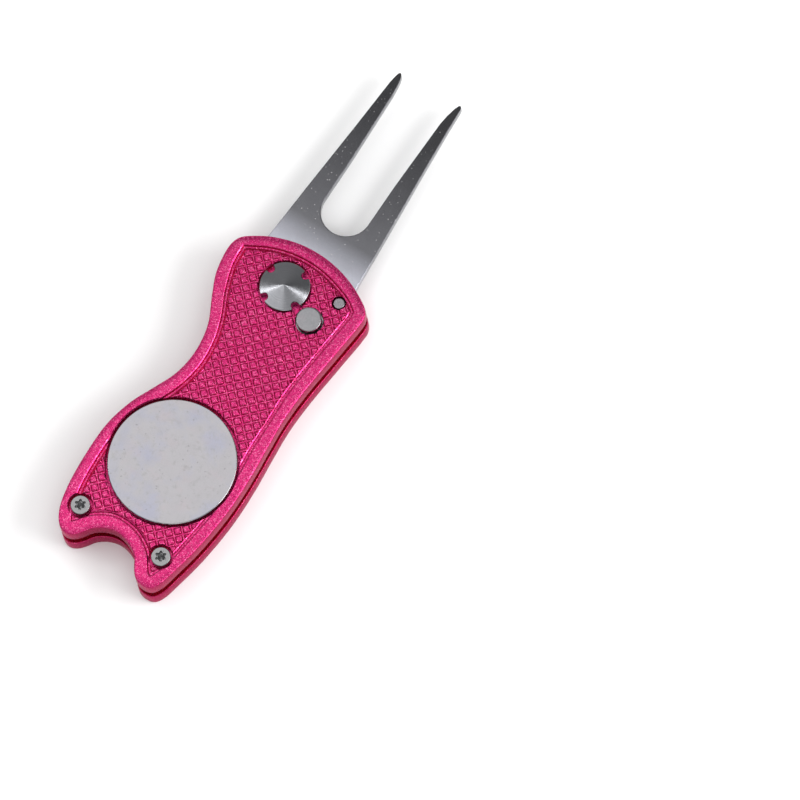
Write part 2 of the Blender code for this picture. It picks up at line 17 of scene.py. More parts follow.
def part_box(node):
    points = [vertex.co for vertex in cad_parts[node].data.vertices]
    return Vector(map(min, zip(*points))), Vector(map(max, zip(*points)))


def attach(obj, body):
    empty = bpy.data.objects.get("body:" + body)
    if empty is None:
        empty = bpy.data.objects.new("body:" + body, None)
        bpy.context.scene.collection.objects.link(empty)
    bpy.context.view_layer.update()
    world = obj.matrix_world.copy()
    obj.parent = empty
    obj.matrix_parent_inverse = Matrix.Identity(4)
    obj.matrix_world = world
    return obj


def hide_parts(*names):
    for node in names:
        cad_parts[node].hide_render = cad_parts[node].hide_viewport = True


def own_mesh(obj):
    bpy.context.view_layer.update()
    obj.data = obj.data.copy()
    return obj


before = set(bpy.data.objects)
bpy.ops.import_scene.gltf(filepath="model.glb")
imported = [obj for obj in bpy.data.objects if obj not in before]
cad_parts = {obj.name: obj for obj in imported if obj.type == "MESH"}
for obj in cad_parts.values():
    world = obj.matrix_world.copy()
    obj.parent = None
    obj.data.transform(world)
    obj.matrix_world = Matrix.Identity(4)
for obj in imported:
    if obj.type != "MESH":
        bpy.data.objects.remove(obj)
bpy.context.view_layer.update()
MM = 0.001


def centre(node):
    """The middle of a CAD node in the world's X and Y, in metres."""
    low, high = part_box(node)
    return (Vector(low) + Vector(high)).xy / 2


ORIGIN = centre("ball_marker")


def place(node):
    """The middle of a CAD node in the design frame."""
    return tuple((centre(node) - ORIGIN) / MM)


def span(node):
    """The lowest and highest point of a CAD node."""
    low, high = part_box(node)
    return low[2] / MM, high[2] / MM


def radius(node):
    """Half the width of a round CAD node."""
    low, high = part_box(node)
    return (high[0] - low[0]) / 2 / MM


def sizes(node):
    """The radius, the lowest and the highest point of a round CAD node."""
    return radius(node), *span(node)


# ---- Driving sizes ----

SLOT_HIGH, FACE = span("front_scale")
SLOT_LOW = FACE - SLOT_HIGH
FORK_LOW, FORK_HIGH = span("fork_blade")
PIVOT = place("pivot_barrel")
BUTTON = place("release_button")
STOP_PIN = place("stop_pin")
SCREWS = {side: place(f"tail_screw_{side}") for side in ("left", "right")}
OUTSIDE = 3.0  # how far a cutter runs past the face that it opens
OVERLAP = 0.5  # how far a narrow cutter reaches up into a wide one
SLOT_SHADE = 0.02  # how far past the slot's walls its painted shade reaches

# The handle's outline, counter-clockwise. The top of the head is an arc.
HEAD_CENTRE = (0.45, 25.8)
HEAD_RADIUS = 23.87
HEAD_ARC_X = (13.2, 8.8, 4.0, 0.0, -4.0)
HEAD_LEFT_CORNER = [(-9.0, 47.65), (-12.5, 45.6), (-13.7, 44.65), (-14.4, 43.4)]
GRIP_SIDE = [
    (-14.7, 41.5), (-13.9, 36.2), (-12.0, 31.8), (-9.4, 26.4), (-8.5, 20.6), (-9.2, 15.3),
    (-11.1, 10.8), (-13.4, 5.7), (-14.8, 0.0), (-15.0, -6.0), (-14.3, -14.8),
]
LEFT_LOBE = [(-13.0, -19.6), (-11.3, -22.0), (-9.6, -22.7), (-8.1, -22.2)]
TAIL_NOTCH = [(-6.9, -21.0), (-5.5, -19.1), (-3.2, -17.7), (-1.0, -17.3), (1.6, -17.9), (4.2, -19.5)]
RIGHT_LOBE = [(5.8, -21.9), (7.1, -23.2), (9.1, -23.6), (10.6, -23.1), (11.6, -21.5), (12.5, -17.9)]
THUMB_SIDE = [
    (13.75, -11.5), (14.6, -2.8), (14.5, 5.2), (13.9, 12.5), (13.5, 18.5), (13.7, 25.0),
    (14.7, 35.0), (15.35, 41.5),
]
HEAD_RIGHT_CORNER = [(15.35, 43.5), (14.7, 44.85)]
OUTLINE_STEP = 0.6  # about how far apart an outline's points are

# The rim's inner edge: clockwise runs that meet at sharp corners.
RIM_HEAD = [
    (-12.7, 43.6), (-10.8, 44.7), (-8.2, 46.0), (-4.8, 47.1), (-1.1, 47.65), (2.3, 47.6),
    (5.3, 47.1), (8.1, 46.3), (10.7, 45.3), (13.1, 43.7),
]
RIM_CORNER = [(13.1, 43.7), (13.35, 42.4)]
RIM_THUMB = [
    (13.35, 42.4), (13.0, 38.6), (12.2, 31.0), (11.6, 23.0), (11.8, 17.0), (12.0, 10.0),
    (12.6, 3.5), (12.7, -3.0), (12.2, -8.0), (11.4, -14.1), (10.7, -18.1), (9.25, -21.6),
]
RIM_NOTCH = [
    (9.25, -21.6), (8.4, -21.3), (7.6, -20.5), (6.1, -18.4), (4.3, -16.9), (1.9, -15.7),
    (-0.8, -15.15), (-3.4, -15.3), (-5.8, -16.4), (-7.5, -17.8), (-9.9, -20.7),
]
RIM_GRIP = [
    (-9.9, -20.7), (-11.0, -18.7), (-11.9, -16.0), (-12.6, -12.3), (-13.0, -6.5), (-12.9, -1.0),
    (-12.1, 3.4), (-9.6, 8.6), (-7.5, 13.6), (-6.5, 19.0), (-6.9, 24.3), (-8.3, 28.9),
    (-10.8, 34.3), (-12.4, 39.5), (-12.7, 43.6),
]

# One face of the handle: a crowned rim, a channel inside it and the knurled field inside that.
CROWN_DROP = 0.18
CROWN_WIDTH = 1.25
EDGE_ROUND = 0.18
SLOT_EDGE = 0.15  # the rounding of the scales' edges along the slot
CHANNEL_DEPTH = 0.72
CHANNEL_WIDTH = 1.26  # from the rim's inner edge to where the field reaches its full height
FIELD_DEPTH = 0.42  # of the floor between the knurl's blocks

# The knurl: blunt pyramids in rows at 45 degrees to the handle.
KNURL_PITCH = 1.723
KNURL_BASE = 0.74  # half the width of a block's foot
KNURL_TOP = 0.49
KNURL_HEIGHT = 0.40
KNURL_HIP = 0.045  # how far a block's corners are cut back
KNURL_FADE = 0.1  # how wide a band the blocks rise in at the field's edge
KNURL_CLIP = 0.03  # how near to the field's edge their outlines end
KNURL_LEVELS = (  # half widths of a block's rings and their heights
    (KNURL_TOP - 0.12, KNURL_TOP - 0.03, KNURL_TOP + 0.03, KNURL_BASE),
    (KNURL_HEIGHT, KNURL_HEIGHT, KNURL_HEIGHT * 0.9, 0.0),
)
HANDLE_REACH = 55.0  # farther than the handle reaches from the marker's middle

# The recesses and bores of the handle.
MARKER_RECESS = (13.0, 7.95)  # radius and floor
MAGNET_POCKET = (4.3, 6.65)
CAP_COUNTERBORE = (5.2, 8.0)
BARREL_BORE = 2.8
FRONT_WASHER_SEAT = (4.7, 6.55)
BUTTON_BORE = 2.68
BUTTON_ROOM = (3.4, 8.9)
STOP_PIN_BORE = 1.4
SCREW_COUNTERBORE = (2.45, 8.4)
SCREW_BORE = 1.3
GROOVE_DEPTH = 0.8  # of the ring cut round the floor of the marker's recess and of the screws'
HOLE_EDGE = 0.06  # chamfer round the holes in the field
FLANGE_COUNTERBORE = (4.1, 1.2)
SPRING_POCKET = (3.75, 5.05, 1.75)  # inner and outer radius, floor
SPRING_BOSS_TOP = 3.35
BUTTON_WELL = (2.5, 1.0)
STOP_PIN_WELL = (1.4, 1.9)
SCREW_WELL = (1.3, 1.0)

# The wall between the scales, and what the fork sweeps out of it.
WALL_SETBACK = 0.9
WALL_FOOT = 0.8  # how far it is let into the back scale
WALL_TOP = span("back_scale")[1]
WALL_INNER_X = 9.2
WALL_HEAD_RADIUS = 12.4
WALL_END_Y = 43.0
WALL_LEFT_Y = -8.0  # where the wall ends on the grip side
WALL_PIN_X = 11.2  # its inner face beside the stop pin
FORK_REACH = 51.0

# The fork, in its open position.
FORK_MIDDLE_X = -0.3
FORK_HALF_WIDTHS = [(10.3, 45.6), (10.05, 48.8), (9.3, 59.8), (8.1, 75.8), (7.5, 84.8)]
PRONG_INNER = [(5.0, 60.4), (5.05, 69.8), (5.35, 79.8), (5.5, 84.8)]
NOTCH_BOTTOM = 55.5
RIGHT_TIP = [(7.1, 87.4), (7.03, 88.9), (6.9, 89.5), (6.7, 89.78)]
RIGHT_TIP += [(6.48, 89.85), (6.27, 89.7), (5.9, 88.8), (5.45, 86.8)]
LEFT_TIP = [(-6.0, 86.9), (-6.2, 88.1), (-6.52, 89.0), (-6.78, 89.28)]
LEFT_TIP += [(-7.02, 89.3), (-7.25, 89.0), (-7.45, 88.2), (-7.68, 86.6)]
FORK_SHOULDER = [(5.2, 43.9), (6.3, 44.9), (9.7, 44.9)]  # rests on the stop pin when the fork is open
HUB_RADIUS = 5.3
FOLD_ANGLE = 178
BUTTON_BODY_RADIUS = 2.2
BUTTON_CLEARANCE = 0.45  # of the scoop in the fork round the button
SPRING_HOLE = 0.6
FORK_EDGE = 0.07

# The pivot group.
CAP_CONE = 1.0  # the cone's height
CAP_LIFT = 0.3  # of the cap over its counterbore's floor
CAP_SHANK = 1.3
CAP_NOTCH = (0.75, 1.2)  # half width and depth
CAP_NOTCH_FLARE = 0.45  # how fast a notch's mouth widens
CAP_NOTCH_ANGLES = (60, 160, 240, 330)
BARREL_TUBE = (1.6, 2.5)  # inner and outer radius
BARREL_FLOOR = 2.6  # of the barrel's bore
FLANGE_THICKNESS = 0.9
FLANGE_SLOT = (0.5, 0.4)  # half width and depth
SPRING_RADIUS = 4.4
SPRING_WIRE = 0.25
SPRING_TURNS = 1.5
SPRING_PITCH = 0.6
SPRING_LEG_REACH = 6.6
BUTTON_SPRING = (1.15, 0.2, 7)  # mean radius, wire radius and turns

# The button and the screws.
BUTTON_HEAD = 2.45
BUTTON_COLLAR = (7.8, 8.45)  # bottom and top
BUTTON_SOCKET = (1.65, 6.0)  # radius and top of the well for its spring
SCREW_SHANK = 1.0
SCREW_HEAD_LOW = 8.7  # of the underside of a screw's head
SCREW_SOCKET = (0.95, 0.2)  # mean radius and the height of its six lobes
SOCKET_DEPTH = 0.9
DRILL_DEPTH = 2.6

# The camera, which looks down the tool from its marker's side.
CAMERA_AZIMUTH = 47.3
CAMERA_ELEVATION = 72.03
CAMERA_ROLL = 14.53
CAMERA_DISTANCE = 4000.0
CAMERA_LENS = 942.6
CAMERA_SHIFT = (43.52, 11.7)  # from the marker to the middle of the view, to the right and up

# The studio's light, as the brightness of what a surface faces.
ROOM_LIGHT = (0.60, 0.10)  # low in the room and overhead, as reflections see it
ROOM_BAND = (0.6, 0.95)  # where the one passes into the other: the upward part of a direction
FLOOR_FILL = 0.72  # the room's even light on all but reflections
STRIP = (36, 150)  # the width and length of a strip light
STRIP_LIGHT = 7.0
FLOOR_RADIUS = 900


# ---- Outlines ----


def spline_span(before, start, end, after):
    """Points from one knot to the next, without the next, on the smooth curve that all four lie on."""
    spans = [(b - a).length ** 0.5 for a, b in ((before, start), (start, end), (end, after))]
    first = spline_handle(before, start, end, spans[0], spans[1])
    second = spline_handle(after, end, start, spans[2], spans[1])
    pieces = max(1, round((end - start).length / OUTLINE_STEP))
    points = []
    for k in range(pieces):
        t = k / pieces
        s = 1 - t
        spot = s**3 * start + 3 * s * s * t * first + 3 * s * t * t * second + t**3 * end
        points.append(tuple(spot))
    return points


def spline_through(knots):
    """A smooth closed loop through the knots."""
    corners = [Vector(knot) for knot in knots]
    count = len(corners)
    loop = []
    for i in range(count):
        end, after = corners[(i + 1) % count], corners[(i + 2) % count]
        loop += spline_span(corners[i - 1], corners[i], end, after)
    return loop


def spline_run(knots):
    """A smooth run from the first knot to the last, without the last."""
    corners = [Vector(knot) for knot in knots]
    corners = [2 * corners[0] - corners[1]] + corners + [2 * corners[-1] - corners[-2]]
    run = []
    for i in range(1, len(corners) - 2):
        run += spline_span(*corners[i - 1 : i + 3])
    return run


def spline_handle(far, here, towards, far_span, near_span):
    """The Bezier handle at a knot, which makes the curve pass through it without a kink."""
    weight = 2 * far_span**2 + 3 * far_span * near_span + near_span**2
    total = far_span**2 * towards - near_span**2 * far + weight * here
    return total / (3 * far_span * (far_span + near_span))


def head_arc(x):
    return (x, HEAD_CENTRE[1] + math.sqrt(HEAD_RADIUS**2 - (x - HEAD_CENTRE[0]) ** 2))


def handle_outline():
    knots = [head_arc(x) for x in HEAD_ARC_X] + HEAD_LEFT_CORNER + GRIP_SIDE + LEFT_LOBE
    knots += TAIL_NOTCH + RIGHT_LOBE + THUMB_SIDE + HEAD_RIGHT_CORNER
    return spline_through(knots)


def rim_inside():
    """The rim's inner edge, counter-clockwise."""
    runs = [spline_run(run) for run in (RIM_HEAD, RIM_CORNER, RIM_THUMB, RIM_NOTCH, RIM_GRIP)]
    return [point for run in runs for point in run][::-1]


def edge_distance(points, loop):
    """How far each point is from the closed loop."""
    starts = np.array(loop)
    edges = np.roll(starts, -1, axis=0) - starts
    lengths = (edges**2).sum(axis=1)
    nearest = []
    for group in np.array_split(np.array(points), max(1, len(points) // 1500)):
        reach = group[:, None, :] - starts[None, :, :]
        share = np.clip((reach * edges).sum(axis=2) / lengths, 0, 1)
        nearest.append(np.linalg.norm(reach - share[:, :, None] * edges, axis=2).min(axis=1))
    return np.concatenate(nearest)


def inset(loop, distance):
    """The loop moved inwards, with its corners kept.
    Points that come too near another stretch of the loop are dropped."""
    points = np.array(loop)
    along = np.roll(points, -1, axis=0) - points
    along /= np.linalg.norm(along, axis=1)[:, None]
    after = np.column_stack([-along[:, 1], along[:, 0]])
    before = np.roll(after, 1, axis=0)
    shared = 1 + (before * after).sum(axis=1)
    inner = points + distance * (before + after) / shared[:, None]
    clear = edge_distance(inner, loop) > distance - min(0.02, distance / 4)
    return [tuple(point) for point in inner[clear].tolist()]


def arc(middle, reach, start, stop, pieces):
    """Points along an arc, both ends included, with angles in degrees."""
    angles = np.radians(np.linspace(start, stop, pieces + 1))
    return [(middle[0] + reach * math.cos(a), middle[1] + reach * math.sin(a)) for a in angles]


def polar(middle, reach, degrees):
    a = math.radians(degrees)
    return (middle[0] + reach * math.cos(a), middle[1] + reach * math.sin(a))


def oblong(left, low, right, high):
    return [(left, low), (right, low), (right, high), (left, high)]


def fork_outline():
    """The open fork's outline, counter-clockwise from the end of its hub on the stop pin's side."""
    middle = FORK_MIDDLE_X
    right_edge = [(middle + w, y) for w, y in FORK_HALF_WIDTHS]
    right_inner = [(middle + w, y) for w, y in reversed(PRONG_INNER)]
    notch_radius = PRONG_INNER[0][0]
    notch_top = PRONG_INNER[0][1]
    squash = (notch_top - NOTCH_BOTTOM) / notch_radius
    notch = [
        (x, notch_top + (y - notch_top) * squash)
        for x, y in arc((middle, notch_top), notch_radius, 0, -180, 40)
    ][1:-1]
    left_inner = [(middle - w, y) for w, y in PRONG_INNER]
    left_edge = [(middle - w, y) for w, y in reversed(FORK_HALF_WIDTHS)]
    body_angle = math.degrees(math.atan2(BUTTON[1] - PIVOT[1], BUTTON[0] - PIVOT[0]))
    folded_body = polar(PIVOT, math.dist(BUTTON, PIVOT), body_angle - FOLD_ANGLE)
    scoop = arc(folded_body, BUTTON_BODY_RADIUS + BUTTON_CLEARANCE, 110, 5, 20)
    hub = arc(PIVOT, HUB_RADIUS, 152, 370, 60)
    right_prong = right_edge + RIGHT_TIP + right_inner
    left_prong = left_inner + LEFT_TIP + left_edge
    return FORK_SHOULDER + right_prong + notch + left_prong + scoop + hub


# ---- Meshes ----


def add_object(name, data, at=(0, 0)):
    """An object whose origin is under a place in the design frame."""
    made = bpy.data.objects.new(name, data)
    made.location = (ORIGIN.x + at[0] * MM, ORIGIN.y + at[1] * MM, 0)
    bpy.context.scene.collection.objects.link(made)
    return made


def new_piece(name, shape, at=(0, 0)):
    """An object from a bmesh in the design frame, with its origin under a place."""
    bmesh.ops.translate(shape, verts=shape.verts, vec=(-at[0], -at[1], 0))
    bmesh.ops.scale(shape, verts=shape.verts, vec=(MM, MM, MM))
    bmesh.ops.recalc_face_normals(shape, faces=shape.faces)
    mesh = bpy.data.meshes.new(name)
    shape.to_mesh(mesh)
    shape.free()
    return add_object(name, mesh, at)


def add_rings(shape, rings):
    """Joins rings of equally many points, each with a height, into a closed body with flat ends."""
    rows = [[shape.verts.new((*point, height)) for point in ring] for ring, height in rings]
    count = len(rows[0])
    for lower, upper in zip(rows, rows[1:]):
        for i in range(count):
            j = (i + 1) % count
            shape.faces.new((lower[i], lower[j], upper[j], upper[i]))
    shape.faces.new(list(reversed(rows[0])))
    shape.faces.new(rows[-1])


def loft(name, rings, at=(0, 0)):
    shape = bmesh.new()
    add_rings(shape, rings)
    return new_piece(name, shape, at)


def plate(name, loop, low, high):
    return loft(name, [(loop, low), (loop, high)])


def add_turned(shape, profile, at, steps):
    """Adds a round body: a profile of radii and heights, from the axis at its top to the axis at
    its foot. A profile that keeps off the axis closes on itself."""
    rows = []
    for reach, height in profile:
        ring = [at] if reach == 0 else arc(at, reach, 0, 360, steps)[:-1]
        rows.append([shape.verts.new((*point, height)) for point in ring])
    if profile[0][0] > 0:
        rows.append(rows[0])
    for upper, lower in zip(rows, rows[1:]):
        for i in range(steps):
            j = (i + 1) % steps
            corners = [upper[i % len(upper)], lower[i % len(lower)]]
            corners += [lower[j % len(lower)], upper[j % len(upper)]]
            shape.faces.new(list(dict.fromkeys(corners)))


def held(profile, margin=0.06):
    """The profile with a point just inside each end of its long stretches, so that smooth shading
    keeps them straight."""
    result = []
    following = profile[1:] + profile[:1]
    for start, end in zip(profile, following):
        result.append(start)
        length = math.dist(start, end)
        last = end is profile[0] and profile[0][0] == 0
        if length > 4 * margin and not last:
            for share in (margin / length, 1 - margin / length):
                result.append(tuple(a + share * (b - a) for a, b in zip(start, end)))
    return result


def turned(name, profile, at, steps=96):
    shape = bmesh.new()
    add_turned(shape, held(profile), at, steps)
    return new_piece(name, shape, at)


def rounded(profile, pieces=4):
    """The profile with its corners filleted. A corner is a radius, a height and the fillet's size."""
    result = []
    for i, (reach, height, size) in enumerate(profile):
        if size == 0:
            result.append((reach, height))
            continue
        here = Vector((reach, height))
        before = Vector(profile[i - 1][:2]) - here
        after = Vector(profile[(i + 1) % len(profile)][:2]) - here
        start = here + before.normalized() * min(size, before.length * 0.45)
        end = here + after.normalized() * min(size, after.length * 0.45)
        for k in range(pieces + 1):
            t = k / pieces
            result.append(tuple((1 - t) ** 2 * start + 2 * t * (1 - t) * here + t * t * end))
    return result


def bore_profile(steps):
    """The profile of a hole that changes radius going down. A step is a radius, a top and a bottom."""
    profile = [(0, steps[0][1])]
    for reach, top, bottom in steps:
        profile += [(reach, top), (reach, bottom)]
    return profile + [(0, steps[-1][2])]


def wire(name, points, thickness, at):
    """A round wire along the points, as a mesh with rounded-off ends."""
    curve = bpy.data.curves.new(name, "CURVE")
    curve.dimensions = "3D"
    curve.bevel_depth = thickness * MM
    curve.bevel_resolution = 3
    curve.use_fill_caps = True
    spline = curve.splines.new("POLY")
    spline.points.add(len(points) - 1)
    for point, (x, y, z) in zip(spline.points, points):
        point.co = ((x - at[0]) * MM, (y - at[1]) * MM, z * MM, 1)
    guide = add_object(name, curve)
    graph = bpy.context.evaluated_depsgraph_get()
    mesh = bpy.data.meshes.new_from_object(guide.evaluated_get(graph))
    bpy.data.objects.remove(guide)
    bpy.data.curves.remove(curve)
    return add_object(name, mesh, at)


def combine(piece, tools, operation="DIFFERENCE"):
    """Cuts the tools from the piece, or joins them to it, and removes the tools."""
    for tool in tools:
        change = piece.modifiers.new(tool.name, "BOOLEAN")
        change.operation = operation
        change.object = tool
        change.solver = "EXACT"
    graph = bpy.context.evaluated_depsgraph_get()
    mesh = bpy.data.meshes.new_from_object(piece.evaluated_get(graph))
    piece.modifiers.clear()
    piece.data = mesh
    for tool in tools:
        bpy.data.objects.remove(tool)


def cutters(name, bores, steps=96):
    """One cutter made of separate round bores. A bore is a place and its steps."""
    shape = bmesh.new()
    for at, profile in bores:
        add_turned(shape, profile, at, steps)
    return new_piece(name, shape)


def finish(piece, material, slot, body, *nodes, sharp=32):
    """Shades a piece, gives it its material and ties it to the frame."""
    mesh = piece.data
    mesh.materials.clear()
    mesh.materials.append(material)
    mesh.polygons.foreach_set("material_index", [0] * len(mesh.polygons))
    mesh.polygons.foreach_set("use_smooth", [True] * len(mesh.polygons))
    mesh.set_sharp_from_angle(angle=math.radians(sharp))
    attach(piece, body)
    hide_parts(*nodes)


# ---- Reliefs: flat sheets raised by the distance from their edge ----


class Sheet:
    """The points and strokes of a flat sheet, before it is raised."""

    def __init__(self, outline):
        self.outline = outline
        self.points = []
        self.strokes = []
        self.add_loop(outline)

    def add_loop(self, loop):
        first = len(self.points)
        self.points += loop
        count = len(loop)
        self.strokes += [(first + i, first + (i + 1) % count) for i in range(count)]

    def add_stroke(self, start, end):
        self.strokes.append((len(self.points), len(self.points) + 1))
        self.points += [start, end]

    def triangles(self):
        """The sheet's points, its triangles and the place of each outline point among the points."""
        flat = [Vector(point) for point in self.points]
        spots, _, faces, sources, _, _ = geometry.delaunay_2d_cdt(flat, self.strokes, [], 1, 1e-5)
        found = {source: i for i, group in enumerate(sources) for source in group}
        rim = [found[i] for i in range(len(self.outline))]
        return np.array([tuple(spot) for spot in spots]), faces, rim


def relief(name, outline, top, bottom):
    """A closed body between two sides. Each is a level, a sheet and a function for how far the
    sheet's points lie inside that level."""
    shape = bmesh.new()
    rims = []
    for (level, sheet, depths), way in ((top, 1), (bottom, -1)):
        spots, faces, rim = sheet.triangles()
        heights = level - way * depths(spots)
        verts = [shape.verts.new((x, y, z)) for (x, y), z in zip(spots, heights)]
        for face in faces:
            shape.faces.new([verts[i] for i in face][::way])
        rims.append([verts[i] for i in rim])
    upper, lower = rims
    count = len(outline)
    for i in range(count):
        j = (i + 1) % count
        shape.faces.new((upper[j], upper[i], lower[i], lower[j]))
    return new_piece(name, shape)


def edge_profile(size, pieces=3):
    """The depths of a rounded edge at distances in from it."""
    turns = [math.pi / 2 * k / pieces for k in range(pieces + 1)]
    return [(size * (1 - math.cos(t)), size * (1 - math.sin(t))) for t in turns]


def rim_profile():
    """The depths of the rim's top, at distances in from the handle's edge."""
    profile = [(d, depth + CROWN_DROP * 0.8) for d, depth in edge_profile(EDGE_ROUND, 4)[:-1]]
    for d in (0.2, 0.35, 0.55, 0.78, 1.0, CROWN_WIDTH):
        profile.append((d, CROWN_DROP * (1 - d / CROWN_WIDTH) ** 2))
    return profile


def field_profile():
    """The depths of the channel and the field's edge, at distances in from the rim's inner edge."""
    deep, edge, field = CHANNEL_DEPTH, CHANNEL_WIDTH, FIELD_DEPTH
    profile = [(0, 0), (0.04, 0.012), (0.25, 0.145), (0.29, 0.2), (0.33, 0.36), (0.36, deep - 0.2)]
    profile += [(0.39, deep - 0.06), (0.44, deep - 0.01), (0.5, deep)]
    profile += [(edge - 0.5, deep), (edge - 0.45, deep - 0.02), (edge - 0.4, deep - 0.08)]
    profile += [(edge - 0.35, field + 0.17), (edge - 0.29, field + 0.11), (edge - 0.1, field + 0.01)]
    return profile + [(edge - 0.04, field)]


def knurl_measure(points):
    """The size of the ring of its knurl block that each point is on."""
    points = np.array(points)
    rows = np.column_stack([points[:, 0] + points[:, 1], points[:, 1] - points[:, 0]]) / math.sqrt(2)
    local = np.abs(rows - KNURL_PITCH * np.round(rows / KNURL_PITCH))
    return np.maximum(local.max(axis=1), local.sum(axis=1) / 2 + KNURL_HIP)


def knurl_rings(reach):
    """The rings of every knurl block whose middle is within reach of the marker's middle."""
    steps = math.ceil(reach / KNURL_PITCH)
    blocks = []
    for i in range(-steps, steps + 1):
        for j in range(-steps, steps + 1):
            middle = KNURL_PITCH * np.array([i - j, i + j]) / math.sqrt(2)
            blocks.append((middle, [knurl_ring(middle, m) for m in KNURL_LEVELS[0][::-1]]))
    return blocks


def knurl_ring(middle, size):
    """One ring of a block: a square with its corners cut, turned by 45 degrees."""
    short = size - 2 * KNURL_HIP
    ring = []
    for turn in range(4):
        for a, b in ((size, -short), (size, short)):
            for _ in range(turn):
                a, b = -b, a
            ring.append((middle[0] + (a - b) / math.sqrt(2), middle[1] + (a + b) / math.sqrt(2)))
    return ring


def face_sheet(outline, inside, openings):
    """The sheet of a handle face: rings at each step of its profiles, and the knurl's blocks.
    Blocks that lie wholly in an opening are left out."""
    sheet = Sheet(outline)
    for distance, _ in rim_profile()[1:]:
        sheet.add_loop(inset(outline, distance))
    sheet.add_loop(inset(inside, -0.1))
    sheet.add_loop(inside)
    for distance, _ in field_profile()[1:]:
        sheet.add_loop(inset(inside, distance))
    half_diagonal = KNURL_BASE * 1.35
    blocks = knurl_rings(HANDLE_REACH)
    middles = np.array([middle for middle, _ in blocks])
    depths = depth_inside(inside, middles)
    for (middle, rings), depth in zip(blocks, depths):
        if depth < CHANNEL_WIDTH - half_diagonal:
            continue
        if any(math.dist(middle, at) < reach - half_diagonal for at, reach in openings):
            continue
        for ring in rings:
            add_clipped(sheet, ring, inside, depth > CHANNEL_WIDTH + half_diagonal)
    return sheet


def add_clipped(sheet, ring, inside, whole):
    """Adds a block's ring, without the part that lies outside the knurled field."""
    if whole:
        sheet.add_loop(ring)
        return
    depths = depth_inside(inside, np.array(ring)) - (CHANNEL_WIDTH - KNURL_CLIP)
    near = 2 * KNURL_CLIP
    if (depths > near).all():
        sheet.add_loop(ring)
        return
    for i, start in enumerate(ring):
        j = (i + 1) % len(ring)
        ends = [(Vector(start), depths[i]), (Vector(ring[j]), depths[j])]
        ends.sort(key=lambda end: -end[1])
        (inner, inner_depth), (outer, outer_depth) = ends
        if inner_depth <= near:
            continue
        if outer_depth < 0:
            outer = inner + (outer - inner) * inner_depth / (inner_depth - outer_depth)
        sheet.add_stroke(tuple(inner), tuple(outer))


def polygon_holds(loop, points):
    """Whether each point is inside the closed loop."""
    starts = np.array(loop)
    ends = np.roll(starts, -1, axis=0)
    x, y = points[:, 0, None], points[:, 1, None]
    crosses = (starts[:, 1] > y) != (ends[:, 1] > y)
    rise = np.where(ends[:, 1] == starts[:, 1], 1.0, ends[:, 1] - starts[:, 1])
    at = starts[:, 0] + (y - starts[:, 1]) * (ends[:, 0] - starts[:, 0]) / rise
    return (crosses & (x < at)).sum(axis=1) % 2 == 1


def profile_depth(profile, distances):
    return np.interp(distances, [d for d, _ in profile], [depth for _, depth in profile])


def depth_inside(loop, points):
    """How far each point is inside the loop. Points outside it are below zero."""
    return edge_distance(points, loop) * np.where(polygon_holds(loop, points), 1, -1)


def face_depths(outline, inside, spots):
    """The depth of a handle face at each spot, with its knurl."""
    depths = profile_depth(rim_profile(), edge_distance(spots, outline))
    reach = depth_inside(inside, spots)
    depths += profile_depth(field_profile(), reach)
    blocks = np.interp(knurl_measure(spots), *KNURL_LEVELS)
    share = np.clip((reach - (CHANNEL_WIDTH - KNURL_FADE)) / KNURL_FADE, 0, 1)
    return depths - blocks * share


def plain_side(outline, size):
    """The sheet and the depth function of a flat face with a rounded edge."""
    profile = edge_profile(size)
    sheet = Sheet(outline)
    for distance in [d for d, _ in profile[1:]] + [size + 0.1]:
        sheet.add_loop(inset(outline, distance))
    return sheet, lambda spots: profile_depth(profile, edge_distance(spots, outline))


def knurled_side(outline, openings):
    """The sheet and the depth function of a handle face."""
    inside = rim_inside()
    sheet = face_sheet(outline, inside, openings)
    return sheet, lambda spots: face_depths(outline, inside, spots)


# ---- Materials ----


NOISE_MIDDLE = (0.3, 0.7)  # where nearly all of a noise's values lie


class Nodes:
    """A node tree that nodes are added to."""

    def __init__(self, tree):
        self.tree = tree

    def set(self, node, socket, value):
        """Gives a node's socket a value, or links another node's output to it."""
        if isinstance(value, bpy.types.NodeSocket):
            self.tree.links.new(value, node.inputs[socket])
        else:
            node.inputs[socket].default_value = value

    def add(self, kind, inputs, output=0, **settings):
        """Adds a node with its inputs and settings, and gives one of its outputs."""
        node = self.tree.nodes.new(kind)
        for key, value in settings.items():
            setattr(node, key, value)
        for socket, value in inputs.items():
            self.set(node, socket, value)
        return node.outputs[output]

    def part(self, vector, axis):
        """One axis of a vector."""
        return self.add("ShaderNodeSeparateXYZ", {0: vector}, axis)

    def remap(self, value, low, high, to_low, to_high):
        """The value, with the range from low to high moved to another range."""
        return self.add("ShaderNodeMapRange", {0: value, 1: low, 2: high, 3: to_low, 4: to_high})

    def maths(self, operation, first, second=0.0):
        return self.add("ShaderNodeMath", {0: first, 1: second}, operation=operation)


